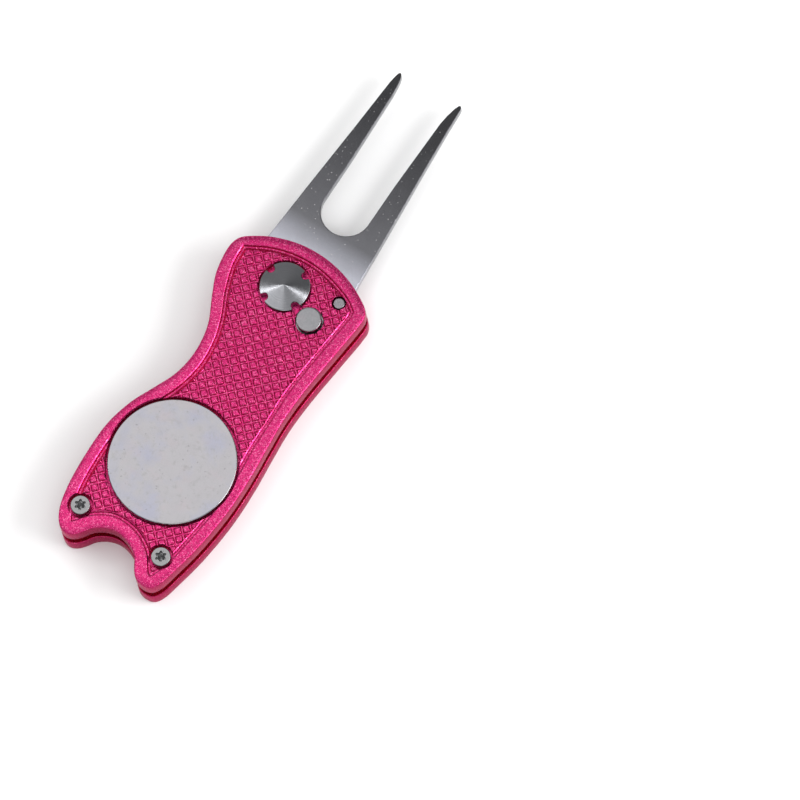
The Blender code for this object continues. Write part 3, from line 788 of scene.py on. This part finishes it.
class Finish(Nodes):
    """A Principled material whose detail comes from nodes."""

    def __init__(self, name, colour, roughness, metallic=1.0):
        self.material = bpy.data.materials.new(name)
        self.material.use_nodes = True
        super().__init__(self.material.node_tree)
        self.shader = self.tree.nodes["Principled BSDF"]
        self.set(self.shader, "Base Color", (*colour, 1))
        self.set(self.shader, "Roughness", roughness)
        self.set(self.shader, "Metallic", metallic)
        metres = self.add("ShaderNodeTexCoord", {}, "Object")
        self.place = self.add("ShaderNodeVectorMath", {0: metres, "Scale": 1 / MM}, operation="SCALE")

    def stretched(self, x, y, z):
        """The place in millimetres, with each axis scaled."""
        return self.add("ShaderNodeVectorMath", {0: self.place, 1: (x, y, z)}, operation="MULTIPLY")

    def between(self, low, high):
        """1 between two heights above the handle's back, and 0 elsewhere."""
        height = self.part(self.place, "Z")
        above = self.maths("GREATER_THAN", height, low)
        below = self.maths("LESS_THAN", height, high)
        return self.maths("MULTIPLY", above, below)

    def steepness(self):
        """How far the surface turns from level: 0 where it is level, 1 where it is upright."""
        normal = self.add("ShaderNodeTexCoord", {}, "Normal")
        return self.remap(self.maths("ABSOLUTE", self.part(normal, "Z")), 1.0, 0.0, 0.0, 1.0)

    def noise(self, scale, detail=3, rough=0.55, vector=None):
        inputs = {"Vector": vector or self.place, "Scale": scale, "Detail": detail, "Roughness": rough}
        return self.add("ShaderNodeTexNoise", inputs, "Fac")

    def cells(self, scale):
        """A random value for each cell of a Voronoi pattern."""
        inputs = {"Vector": self.place, "Scale": scale}
        colour = self.add("ShaderNodeTexVoronoi", inputs, "Color")
        return self.add("ShaderNodeSeparateColor", {0: colour}, "Red")

    def rings(self, scale):
        """Random fine rings about the piece's vertical axis."""
        flat = self.stretched(1, 1, 0)
        reach = self.add("ShaderNodeVectorMath", {0: flat}, "Value", operation="LENGTH")
        inputs = {"W": reach, "Scale": scale, "Detail": 4, "Roughness": 0.6}
        return self.add("ShaderNodeTexNoise", inputs, "Fac", noise_dimensions="1D")

    def tint(self, value, low, high, share, colour):
        """Lays a colour over the base colour: none at the value's low, and the share at its high."""
        base = self.shader.inputs["Base Color"]
        under = base.links[0].from_socket if base.is_linked else tuple(base.default_value)
        inputs = {0: self.remap(value, low, high, 0.0, share), 6: under, 7: (*colour, 1)}
        mix = self.add("ShaderNodeMix", inputs, 2, data_type="RGBA")
        self.set(self.shader, "Base Color", mix)

    def roughen(self, noise, low, high):
        """Lets the roughness wander from low to high with a noise."""
        self.set(self.shader, "Roughness", self.remap(noise, *NOISE_MIDDLE, low, high))

    def bump(self, value, depth):
        """Adds a relief of the given depth in millimetres to the surface's normal."""
        inputs = {"Strength": 1.0, "Distance": depth * MM, "Height": value}
        normal = self.shader.inputs["Normal"]
        if normal.is_linked:
            inputs["Normal"] = normal.links[0].from_socket
        self.set(self.shader, "Normal", self.add("ShaderNodeBump", inputs, "Normal"))

    def spin(self, amount):
        """Stretches reflections as fine turning about the vertical axis does."""
        self.set(self.shader, "Anisotropic", amount)
        tangent = self.add("ShaderNodeTangent", {}, "Tangent", direction_type="RADIAL", axis="Z")
        self.set(self.shader, "Tangent", tangent)


def pink_anodised():
    """Bead-blasted aluminium, dyed pink, with a fine sparkling grain.
    Its steep sides and the slot's walls are darkened with painted shade."""
    pink = Finish("pink_anodised", (0.67, 0.034, 0.185), 0.27, 0.96)
    pink.set(pink.shader, "Specular Tint", (1.0, 0.55, 0.65, 1))
    pink.tint(pink.noise(0.35, 2), 0.35, 0.75, 0.3, (0.58, 0.027, 0.155))
    flake = pink.cells(5.2)
    pink.tint(flake, 0.70, 1.0, 0.68, (1.0, 0.22, 0.46))
    pink.tint(flake, 0.30, 0.0, 0.62, (0.36, 0.008, 0.08))
    # painted shade: steep faces, such as the knurl's sides and the channel's walls, are tinted darker
    pink.tint(pink.steepness(), 0.2, 0.45, 0.75, (0.24, 0.012, 0.045))
    # painted shade: everything at the slot's heights, in the gap between the scales, is tinted dark
    # red
    slot = pink.between(SLOT_LOW - SLOT_SHADE, SLOT_HIGH + SLOT_SHADE)
    pink.tint(slot, 0.0, 1.0, 1.0, (0.36, 0.007, 0.034))
    pink.roughen(pink.noise(2.5, 3), 0.23, 0.32)
    pink.bump(pink.noise(5.5, 3, 0.7), 0.026)
    pink.bump(flake, 0.013)
    return pink.material


def fork_steel():
    """Satin stainless sheet with a few bright grains; its prongs are darker with painted shade."""
    steel = Finish("fork_steel", (0.475, 0.48, 0.54), 0.18)
    # painted shade: towards the prongs the blade is tinted darker, so the part by the hub reads as lit
    steel.tint(steel.part(steel.place, "Y"), 49.5, 55.6, 1.0, (0.172, 0.172, 0.186))
    steel.tint(steel.noise(0.3, 2), 0.4, 0.7, 0.15, (0.24, 0.243, 0.255))
    speck = steel.cells(6.5)
    steel.tint(speck, 0.993, 0.997, 0.7, (0.55, 0.55, 0.55))
    steel.set(steel.shader, "Metallic", steel.remap(speck, 0.993, 0.997, 1.0, 0.5))
    steel.roughen(steel.noise(3.0, 3), 0.17, 0.20)
    steel.bump(steel.noise(6.0, 3, 0.6), 0.001)
    return steel.material


def turned_steel():
    """Stainless steel with fine circular tool marks."""
    steel = Finish("turned_steel", (0.31, 0.315, 0.335), 0.17)
    rings = steel.rings(5.0)
    steel.tint(rings, 0.35, 0.7, 0.6, (0.22, 0.225, 0.24))
    steel.tint(steel.noise(0.5, 2), 0.5, 0.8, 0.2, (0.33, 0.31, 0.33))
    steel.roughen(steel.noise(1.5, 3), 0.15, 0.19)
    steel.bump(rings, 0.004)
    steel.spin(0.4)
    return steel.material


def satin_steel():
    """The flat end of the button: fine, nearly even satin."""
    steel = Finish("satin_steel", (0.28, 0.28, 0.293), 0.22)
    steel.tint(steel.noise(0.7, 3), 0.4, 0.75, 0.5, (0.31, 0.28, 0.30))
    steel.tint(steel.rings(4.0), 0.4, 0.75, 0.4, (0.25, 0.265, 0.27))
    steel.roughen(steel.noise(1.7, 3), 0.19, 0.25)
    steel.bump(steel.noise(5.0, 3), 0.002)
    return steel.material


def dowel_steel():
    """Dull ground steel, for the stop pin."""
    steel = Finish("dowel_steel", (0.30, 0.285, 0.31), 0.26)
    steel.tint(steel.cells(5.0), 0.5, 1.0, 0.6, (0.38, 0.37, 0.39))
    steel.tint(steel.noise(2.5, 3), 0.4, 0.7, 0.5, (0.20, 0.20, 0.21))
    steel.roughen(steel.noise(3.0, 3), 0.22, 0.30)
    steel.bump(steel.noise(5.0, 3), 0.003)
    return steel.material


def marker_steel():
    """Pale plated steel with faint smudges and a few tiny specks."""
    steel = Finish("marker_steel", (0.378, 0.368, 0.383), 0.2)
    steel.tint(steel.noise(0.16, 4, 0.55), 0.45, 0.65, 0.75, (0.34, 0.345, 0.42))
    smear = steel.noise(0.23, 4, 0.6, steel.stretched(1, 1.3, 1))
    steel.tint(smear, 0.52, 0.75, 0.6, (0.40, 0.355, 0.375))
    steel.tint(steel.noise(0.9, 6, 0.75), 0.54, 0.72, 0.7, (0.29, 0.29, 0.29))
    steel.tint(steel.cells(4.5), 0.993, 0.996, 0.5, (0.20, 0.20, 0.21))
    steel.roughen(steel.noise(0.4, 4), 0.18, 0.23)
    steel.bump(steel.noise(1.2, 4), 0.002)
    return steel.material


def screw_steel():
    """Zinc-plated screws, bright on their edges."""
    steel = Finish("screw_steel", (0.29, 0.29, 0.295), 0.24)
    steel.tint(steel.rings(3.5), 0.4, 0.7, 0.4, (0.25, 0.25, 0.26))
    steel.roughen(steel.noise(2.0, 3), 0.20, 0.28)
    steel.bump(steel.rings(5.0), 0.002)
    return steel.material


def spring_steel():
    """Drawn spring wire."""
    steel = Finish("spring_steel", (0.34, 0.34, 0.36), 0.32)
    steel.tint(steel.noise(2.0, 4), 0.4, 0.7, 0.5, (0.22, 0.22, 0.24))
    steel.roughen(steel.noise(3.0, 3), 0.26, 0.42)
    return steel.material


def washer_bronze():
    """Rolled phosphor bronze, rubbed by the fork."""
    bronze = Finish("washer_bronze", (0.55, 0.34, 0.15), 0.38)
    bronze.tint(bronze.rings(3.0), 0.4, 0.7, 0.6, (0.42, 0.25, 0.10))
    bronze.roughen(bronze.noise(1.5, 3), 0.30, 0.50)
    return bronze.material


def magnet_nickel():
    """A nickel-plated magnet with fine scuffs."""
    nickel = Finish("magnet_nickel", (0.62, 0.60, 0.55), 0.22)
    nickel.tint(nickel.noise(0.8, 5), 0.45, 0.7, 0.5, (0.50, 0.48, 0.45))
    nickel.roughen(nickel.noise(1.2, 5), 0.16, 0.38)
    nickel.bump(nickel.noise(3.0, 4), 0.004)
    return nickel.material


def floor_paper():
    """White seamless paper with a faint tooth."""
    paper = Finish("floor_paper", (0.93, 0.93, 0.93), 0.9, 0.0)
    paper.tint(paper.noise(0.02, 3), 0.4, 0.7, 0.3, (0.90, 0.90, 0.905))
    paper.bump(paper.noise(0.8, 4), 0.02)
    return paper.material


# ---- The handle ----


def hole(at, reach, floor):
    """A bore down from the front field, with a chamfered edge."""
    field = FACE - FIELD_DEPTH
    top = FACE + OUTSIDE
    edge = HOLE_EDGE
    profile = [(0, top), (reach + edge, top), (reach + edge, field), (reach, field - edge)]
    return at, profile + [(reach, floor), (0, floor)]


def through(at, reach, top, bottom):
    return at, bore_profile([(reach, top, bottom)])


def groove(at, outer, floor, width):
    """A ring-shaped cut in the floor of a bore."""
    inner, top, low = outer - width, floor + 0.3, floor - GROOVE_DEPTH
    return at, [(outer, top), (outer, low), (inner, low), (inner, top)]


def front_scale(material):
    outline = handle_outline()
    openings = [(PIVOT, CAP_COUNTERBORE[0]), (BUTTON, BUTTON_BORE), (STOP_PIN, STOP_PIN_BORE)]
    openings += [((0, 0), MARKER_RECESS[0])]
    openings += [(at, SCREW_COUNTERBORE[0]) for at in SCREWS.values()]
    top = (FACE, *knurled_side(outline, openings))
    scale = relief("front_scale_knurled", outline, top, (SLOT_HIGH, *plain_side(outline, SLOT_EDGE)))
    below = SLOT_HIGH - OUTSIDE
    wide = [
        hole((0, 0), *MARKER_RECESS),
        hole(PIVOT, *CAP_COUNTERBORE),
        hole(BUTTON, BUTTON_BORE, BUTTON_ROOM[1] - 0.05),
        hole(STOP_PIN, STOP_PIN_BORE, below),
    ]
    wide += [hole(at, *SCREW_COUNTERBORE) for at in SCREWS.values()]
    washer, seat = FRONT_WASHER_SEAT
    steps = [(BARREL_BORE, CAP_COUNTERBORE[1] + OVERLAP, seat), (washer, seat, below)]
    narrow = [
        through((0, 0), MAGNET_POCKET[0], MARKER_RECESS[1] + OVERLAP, MAGNET_POCKET[1]),
        (PIVOT, bore_profile(steps)),
        through(BUTTON, BUTTON_ROOM[0], BUTTON_ROOM[1], below),
    ]
    screw_top = SCREW_COUNTERBORE[1] + OVERLAP
    narrow += [through(at, SCREW_BORE, screw_top, below) for at in SCREWS.values()]
    grooves = [groove((0, 0), *MARKER_RECESS, 0.9)]
    grooves += [groove(at, *SCREW_COUNTERBORE, 0.5) for at in SCREWS.values()]
    bores = {"wide_bores": wide, "narrow_bores": narrow, "grooves": grooves}
    combine(scale, [cutters(name, group) for name, group in bores.items()])
    finish(scale, material, "pink_anodised", "handle", "front_scale")


def spacer_wall():
    """The wall that joins the scales, without what the fork sweeps."""
    outline = inset(handle_outline(), WALL_SETBACK)
    wall = plate("spacer_wall", outline, SLOT_LOW - WALL_FOOT, WALL_TOP)
    low, high = SLOT_LOW - OUTSIDE, SLOT_HIGH + OUTSIDE
    far, mouth_low = 60.0, WALL_END_Y + 1
    end = math.degrees(math.acos((WALL_INNER_X - PIVOT[0]) / FORK_REACH))
    sweep = arc(PIVOT, FORK_REACH, 180, 360 - end, 48) + [(WALL_INNER_X, PIVOT[1])]
    head = oblong(-far, WALL_END_Y, WALL_PIN_X, far)
    mouth = oblong(WALL_PIN_X - 1, mouth_low, far, far)
    left = oblong(-far, WALL_LEFT_Y, PIVOT[0], mouth_low)
    circle = arc(PIVOT, WALL_HEAD_RADIUS, 0, 360, 72)[:-1]
    rooms = [plate("room", loop, low, high) for loop in (sweep, head, mouth, left, circle)]
    combine(wall, rooms)
    return wall


def back_scale(material):
    outline = handle_outline()
    bottom = (0.0, *knurled_side(outline, [(PIVOT, FLANGE_COUNTERBORE[0])]))
    scale = relief("back_scale_knurled", outline, (SLOT_LOW, *plain_side(outline, SLOT_EDGE)), bottom)
    combine(scale, [spacer_wall()], "UNION")
    top = SLOT_HIGH + OUTSIDE
    inner, outer, floor = SPRING_POCKET
    flange, flange_seat = FLANGE_COUNTERBORE
    profile = [(0, top), (outer, top), (outer, floor), (inner, floor), (inner, SPRING_BOSS_TOP)]
    profile += [(BARREL_BORE, SPRING_BOSS_TOP), (BARREL_BORE, flange_seat), (flange, flange_seat)]
    profile += [(flange, FIELD_DEPTH + HOLE_EDGE), (flange + HOLE_EDGE, FIELD_DEPTH)]
    profile += [(flange + HOLE_EDGE, -OUTSIDE), (0, -OUTSIDE)]
    bores = [(PIVOT, profile), through(BUTTON, BUTTON_WELL[0], top, BUTTON_WELL[1])]
    bores += [through(STOP_PIN, STOP_PIN_WELL[0], top, STOP_PIN_WELL[1])]
    bores += [through(at, SCREW_WELL[0], top, SCREW_WELL[1]) for at in SCREWS.values()]
    foot, side = PIVOT[1] - SPRING_LEG_REACH - 0.3, 0.6
    slot = oblong(PIVOT[0] - side, foot, PIVOT[0] + side, PIVOT[1] - SPRING_RADIUS)
    combine(scale, [cutters("back_bores", bores), plate("leg_groove", slot, floor + 0.1, top)])
    finish(scale, material, "pink_anodised", "handle", "back_scale")


# ---- The fork ----


def fork(material):
    outline = fork_outline()
    top, bottom = ((level, *plain_side(outline, FORK_EDGE)) for level in (FORK_HIGH, FORK_LOW))
    blade = relief("fork_blade_satin", outline, top, bottom)
    high, low = FORK_HIGH + OUTSIDE, FORK_LOW - OUTSIDE
    holes = [through(PIVOT, BARREL_BORE, high, low)]
    holes += [through(polar(PIVOT, SPRING_RADIUS, 90), SPRING_HOLE, high, low)]
    combine(blade, [cutters("fork_holes", holes)])
    finish(blade, material, "fork_steel", "fork", "fork_blade")


# ---- The pivot group ----


def notch_outline(reach, half, grow, pieces=12):
    """The outline of a notch along +X, round at its end and flared at its mouth."""
    middle = reach + half
    width = half + grow
    mouth = width + 5 * CAP_NOTCH_FLARE
    return arc((middle, 0), width, 90, 270, pieces) + [(middle + 5, -mouth), (middle + 5, mouth)]


def pivot_cap(material):
    reach, shank_low, peak = sizes("pivot_cap_screw")
    edge = peak - CAP_CONE
    seat = CAP_COUNTERBORE[1] + CAP_LIFT
    profile = [(0, peak, 0), (reach - 0.09, edge, 0.03), (reach, edge - 0.09, 0.03)]
    profile += [(reach, seat, 0.1), (CAP_SHANK, seat, 0), (CAP_SHANK, shank_low, 0.2)]
    profile += [(0, shank_low, 0)]
    cap = turned("pivot_cap_turned", rounded(profile), PIVOT, 128)
    half, depth = CAP_NOTCH
    flare = ((seat - OUTSIDE, 0), (edge - 0.02, 0), (edge + 0.1, 0.09), (peak + OUTSIDE, 0.09))
    notches = []
    for angle in CAP_NOTCH_ANGLES:
        turn = Matrix.Rotation(math.radians(angle), 2)
        rings = []
        for height, grow in flare:
            points = notch_outline(reach - depth, half, grow)
            loop = [tuple(turn @ Vector(point) + Vector(PIVOT)) for point in points]
            rings.append((loop, height))
        notches.append(loft(f"cap_notch_{angle}", rings))
    combine(cap, notches)
    finish(cap, material, "turned_steel", "handle", "pivot_cap_screw", sharp=20)


def pivot_barrel(material):
    reach, low, high = sizes("pivot_barrel")
    flange_top = low + FLANGE_THICKNESS
    inner, outer = BARREL_TUBE
    profile = [(0, BARREL_FLOOR, 0), (inner, BARREL_FLOOR, 0), (inner, high, 0.15)]
    profile += [(outer, high, 0.15), (outer, flange_top, 0), (reach, flange_top, 0.1)]
    profile += [(reach, low, 0.2), (0, low, 0)]
    barrel = turned("pivot_barrel_turned", rounded(profile), PIVOT)
    length = reach + 1
    half, depth = FLANGE_SLOT
    slot = [(x + PIVOT[0], y + PIVOT[1]) for x, y in oblong(-length, -half, length, half)]
    combine(barrel, [plate("flange_slot", slot, low - OUTSIDE, low + depth)])
    finish(barrel, material, "turned_steel", "handle", "pivot_barrel")


def thrust_washer(side, material):
    node = f"thrust_washer_{side}"
    outer, low, high = sizes(node)
    corners = ((outer, high), (outer, low), (BARREL_BORE, low), (BARREL_BORE, high))
    profile = rounded([(*corner, 0.08) for corner in corners], 2)
    finish(turned(f"{node}_rolled", profile, PIVOT), material, "washer_bronze", "handle", node)


def coil(middle, reach, start, turns, low, pitch, per_turn):
    """Points up a coil, from an angle in degrees."""
    shares = [i / per_turn for i in range(round(turns * per_turn) + 1)]
    return [(*polar(middle, reach, start + 360 * share), low + pitch * share) for share in shares]


def opening_spring(material):
    low, top = span("opening_spring")
    low += SPRING_WIRE
    foot = PIVOT[1] - SPRING_LEG_REACH
    points = [(PIVOT[0], foot + 0.4 * k, low) for k in range(4)]
    points += coil(PIVOT, SPRING_RADIUS, 270, SPRING_TURNS, low, SPRING_PITCH, 48)
    end = low + SPRING_PITCH * SPRING_TURNS
    leg = (PIVOT[0] - 0.15, PIVOT[1] + SPRING_RADIUS)
    points += [(*leg, end + 0.3), (*leg, end + 0.8), (*leg, top)]
    spring = wire("opening_spring_wire", points, SPRING_WIRE, PIVOT)
    finish(spring, material, "spring_steel", "handle", "opening_spring")
    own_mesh(spring)


def button_spring(material):
    reach, thickness, turns = BUTTON_SPRING
    low, high = span("button_spring")
    low, high = low + thickness, high - thickness
    points = coil(BUTTON, reach, 0, turns, low, (high - low) / turns, 32)
    spring = wire("button_spring_wire", points, thickness, BUTTON)
    finish(spring, material, "spring_steel", "handle", "button_spring")
    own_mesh(spring)


# ---- The button, the pin, the screws and the marker ----


def release_button(material):
    collar, low, high = sizes("release_button")
    body = BUTTON_BODY_RADIUS
    collar_low, collar_high = BUTTON_COLLAR
    well, well_top = BUTTON_SOCKET
    profile = [(0, high, 0), (BUTTON_HEAD, high, 0.22), (BUTTON_HEAD, collar_high, 0)]
    profile += [(collar, collar_high, 0.15), (collar, collar_low, 0.08), (body, collar_low, 0)]
    profile += [(body, low, 0.15), (well, low, 0.15), (well, well_top, 0), (0, well_top, 0)]
    button = turned("release_button_turned", rounded(profile), BUTTON)
    finish(button, material, "turned_steel", "button", "release_button", sharp=40)


def stop_pin(material):
    reach, low, high = sizes("stop_pin")
    profile = rounded([(0, high, 0), (reach, high, 0.16), (reach, low, 0.2), (0, low, 0)])
    pin = turned("stop_pin_dowel", profile, STOP_PIN, 64)
    finish(pin, material, "turned_steel", "handle", "stop_pin")


def tail_screw(side, material):
    node = f"tail_screw_{side}"
    at = SCREWS[side]
    head, low, high = sizes(node)
    profile = [(0, high, 0), (head - 0.1, high, 0.04), (head, high - 0.1, 0.04)]
    profile += [(head, SCREW_HEAD_LOW, 0.05), (SCREW_SHANK, SCREW_HEAD_LOW, 0)]
    profile += [(SCREW_SHANK, low, 0.25), (0, low, 0)]
    screw = turned(f"{node}_lobed", rounded(profile), at, 72)
    rings = []
    mean, lobe = SCREW_SOCKET
    flare = ((high - SOCKET_DEPTH, 0), (high - 0.05, 0), (high + 0.05, 0.07), (high + 1, 0.07))
    for height, grow in flare:
        reaches = [(a, mean + grow + lobe * math.cos(math.radians(6 * a))) for a in range(0, 360, 5)]
        rings.append(([polar(at, reach, a) for a, reach in reaches], height))
    drill_top = high - SOCKET_DEPTH + 0.05
    drill = at, [(0, drill_top), (mean - lobe, drill_top), (0, high - DRILL_DEPTH)]
    combine(screw, [loft("socket", rings), cutters("drill_point", [drill], 48)])
    finish(screw, material, "screw_steel", "handle", node)


def ball_marker(material):
    reach, low, high = sizes("ball_marker")
    top = [(0, high, 0), (reach - 0.15, high, 0.05), (reach, high - 0.13, 0.05)]
    disc = turned("ball_marker_disc", rounded(top + [(reach, low, 0.15), (0, low, 0)]), (0, 0), 192)
    finish(disc, material, "marker_steel", "marker", "ball_marker")


def marker_magnet(material):
    reach, low, high = sizes("marker_magnet")
    profile = rounded([(0, high, 0), (reach, high, 0.15), (reach, low, 0.15), (0, low, 0)])
    piece = turned("marker_magnet_disc", profile, (0, 0))
    finish(piece, material, "magnet_nickel", "handle", "marker_magnet")


# ---- The studio ----


def camera_axes():
    """The camera's right, up and back directions."""
    azimuth, elevation, roll = map(math.radians, (CAMERA_AZIMUTH, CAMERA_ELEVATION, CAMERA_ROLL))
    flat = math.cos(elevation)
    back = Vector((flat * math.sin(azimuth), -flat * math.cos(azimuth), math.sin(elevation)))
    level = Vector((math.cos(azimuth), math.sin(azimuth), 0))
    raised = back.cross(level)
    right = level * math.cos(roll) - raised * math.sin(roll)
    up = raised * math.cos(roll) + level * math.sin(roll)
    return right, up, back


def stance(spot, *axes):
    """The matrix of an object at a spot in the world, with its three axes along these."""
    return Matrix.Translation(spot) @ Matrix(axes).transposed().to_4x4()


def add_camera():
    right, up, back = camera_axes()
    target = Vector((*ORIGIN, FACE * MM)) + (right * CAMERA_SHIFT[0] + up * CAMERA_SHIFT[1]) * MM
    data = bpy.data.cameras.new("camera")
    data.lens = CAMERA_LENS
    data.clip_start = 0.01
    data.clip_end = 10
    camera = add_object("camera", data)
    camera.matrix_world = stance(target + back * CAMERA_DISTANCE * MM, right, up, back)
    bpy.context.scene.camera = camera


def add_panel(name, middle, aim, along, size, radiance):
    """A softbox at a place in the design frame, which faces another. Its size is its width and its
    length, and it lies along a direction."""
    data = bpy.data.lights.new(name, "AREA")
    data.shape = "RECTANGLE"
    data.size = size[0] * MM
    data.size_y = size[1] * MM
    data.energy = radiance * math.pi * data.size * data.size_y
    back = (Vector(middle) - Vector(aim)).normalized()
    length = (Vector(along) - back * back.dot(Vector(along))).normalized()
    spot = Vector((*ORIGIN, 0)) + Vector(middle) * MM
    add_object(name, data).matrix_world = stance(spot, length.cross(back), length, back)


def add_world():
    """A dim room with a pale band for reflections, and an even white fill for the rest."""
    world = bpy.data.worlds.new("studio")
    world.use_nodes = True
    nodes = Nodes(world.node_tree)
    up = nodes.part(nodes.add("ShaderNodeTexCoord", {}, "Generated"), "Z")
    band = nodes.remap(up, *ROOM_BAND, *ROOM_LIGHT)
    glossy = nodes.add("ShaderNodeLightPath", {}, "Is Glossy Ray")
    shade = nodes.tree.nodes["Background"]
    nodes.set(shade, "Color", (1, 1, 1, 1))
    nodes.set(shade, "Strength", nodes.add("ShaderNodeMix", {0: glossy, 2: FLOOR_FILL, 3: band}))
    bpy.context.scene.world = world


def add_studio():
    bpy.context.scene.view_settings.view_transform = "Standard"
    add_world()
    pivot = (*PIVOT, FACE)
    add_panel("ceiling", (30, -70, 300), (30, -70, 0), (0, 1, 0), (380, 380), 0.56)
    add_panel("key", (-92, 50, 301), (-92, 50, 0), (0, 1, 0), (164, 164), 0.80)
    add_panel("left_strip", (-332, -27, 506), pivot, (-0.770, -0.659, -0.047), STRIP, STRIP_LIGHT)
    add_panel("right_strip", (151, 182, 572), pivot, (0.967, 0.108, 0.208), STRIP, STRIP_LIGHT)
    add_panel("low_right", (255, 110, 225), (0, 30, 0), (-0.3, 0.95, 0), (150, 240), 6.5)
    add_panel("low_near", (160, -226, 110), (0, 30, 0), (0.85, 0.53, 0), (60, 160), 1.3)
    disc = arc((0, 30), FLOOR_RADIUS, 0, 360, 96)[:-1]
    floor = loft("studio_floor", [(disc, -6.0), (disc, -0.02)])
    floor.data.materials.append(floor_paper())


def main():
    pink = pink_anodised()
    turned_finish, screw_finish = turned_steel(), screw_steel()
    spring_finish, bronze = spring_steel(), washer_bronze()
    front_scale(pink)
    back_scale(pink)
    fork(fork_steel())
    pivot_cap(turned_finish)
    pivot_barrel(turned_finish)
    for side in ("front", "back"):
        thrust_washer(side, bronze)
    opening_spring(spring_finish)
    button_spring(spring_finish)
    release_button(satin_steel())
    stop_pin(dowel_steel())
    for side in SCREWS:
        tail_screw(side, screw_finish)
    ball_marker(marker_steel())
    marker_magnet(magnet_nickel())
    add_camera()
    add_studio()


main()
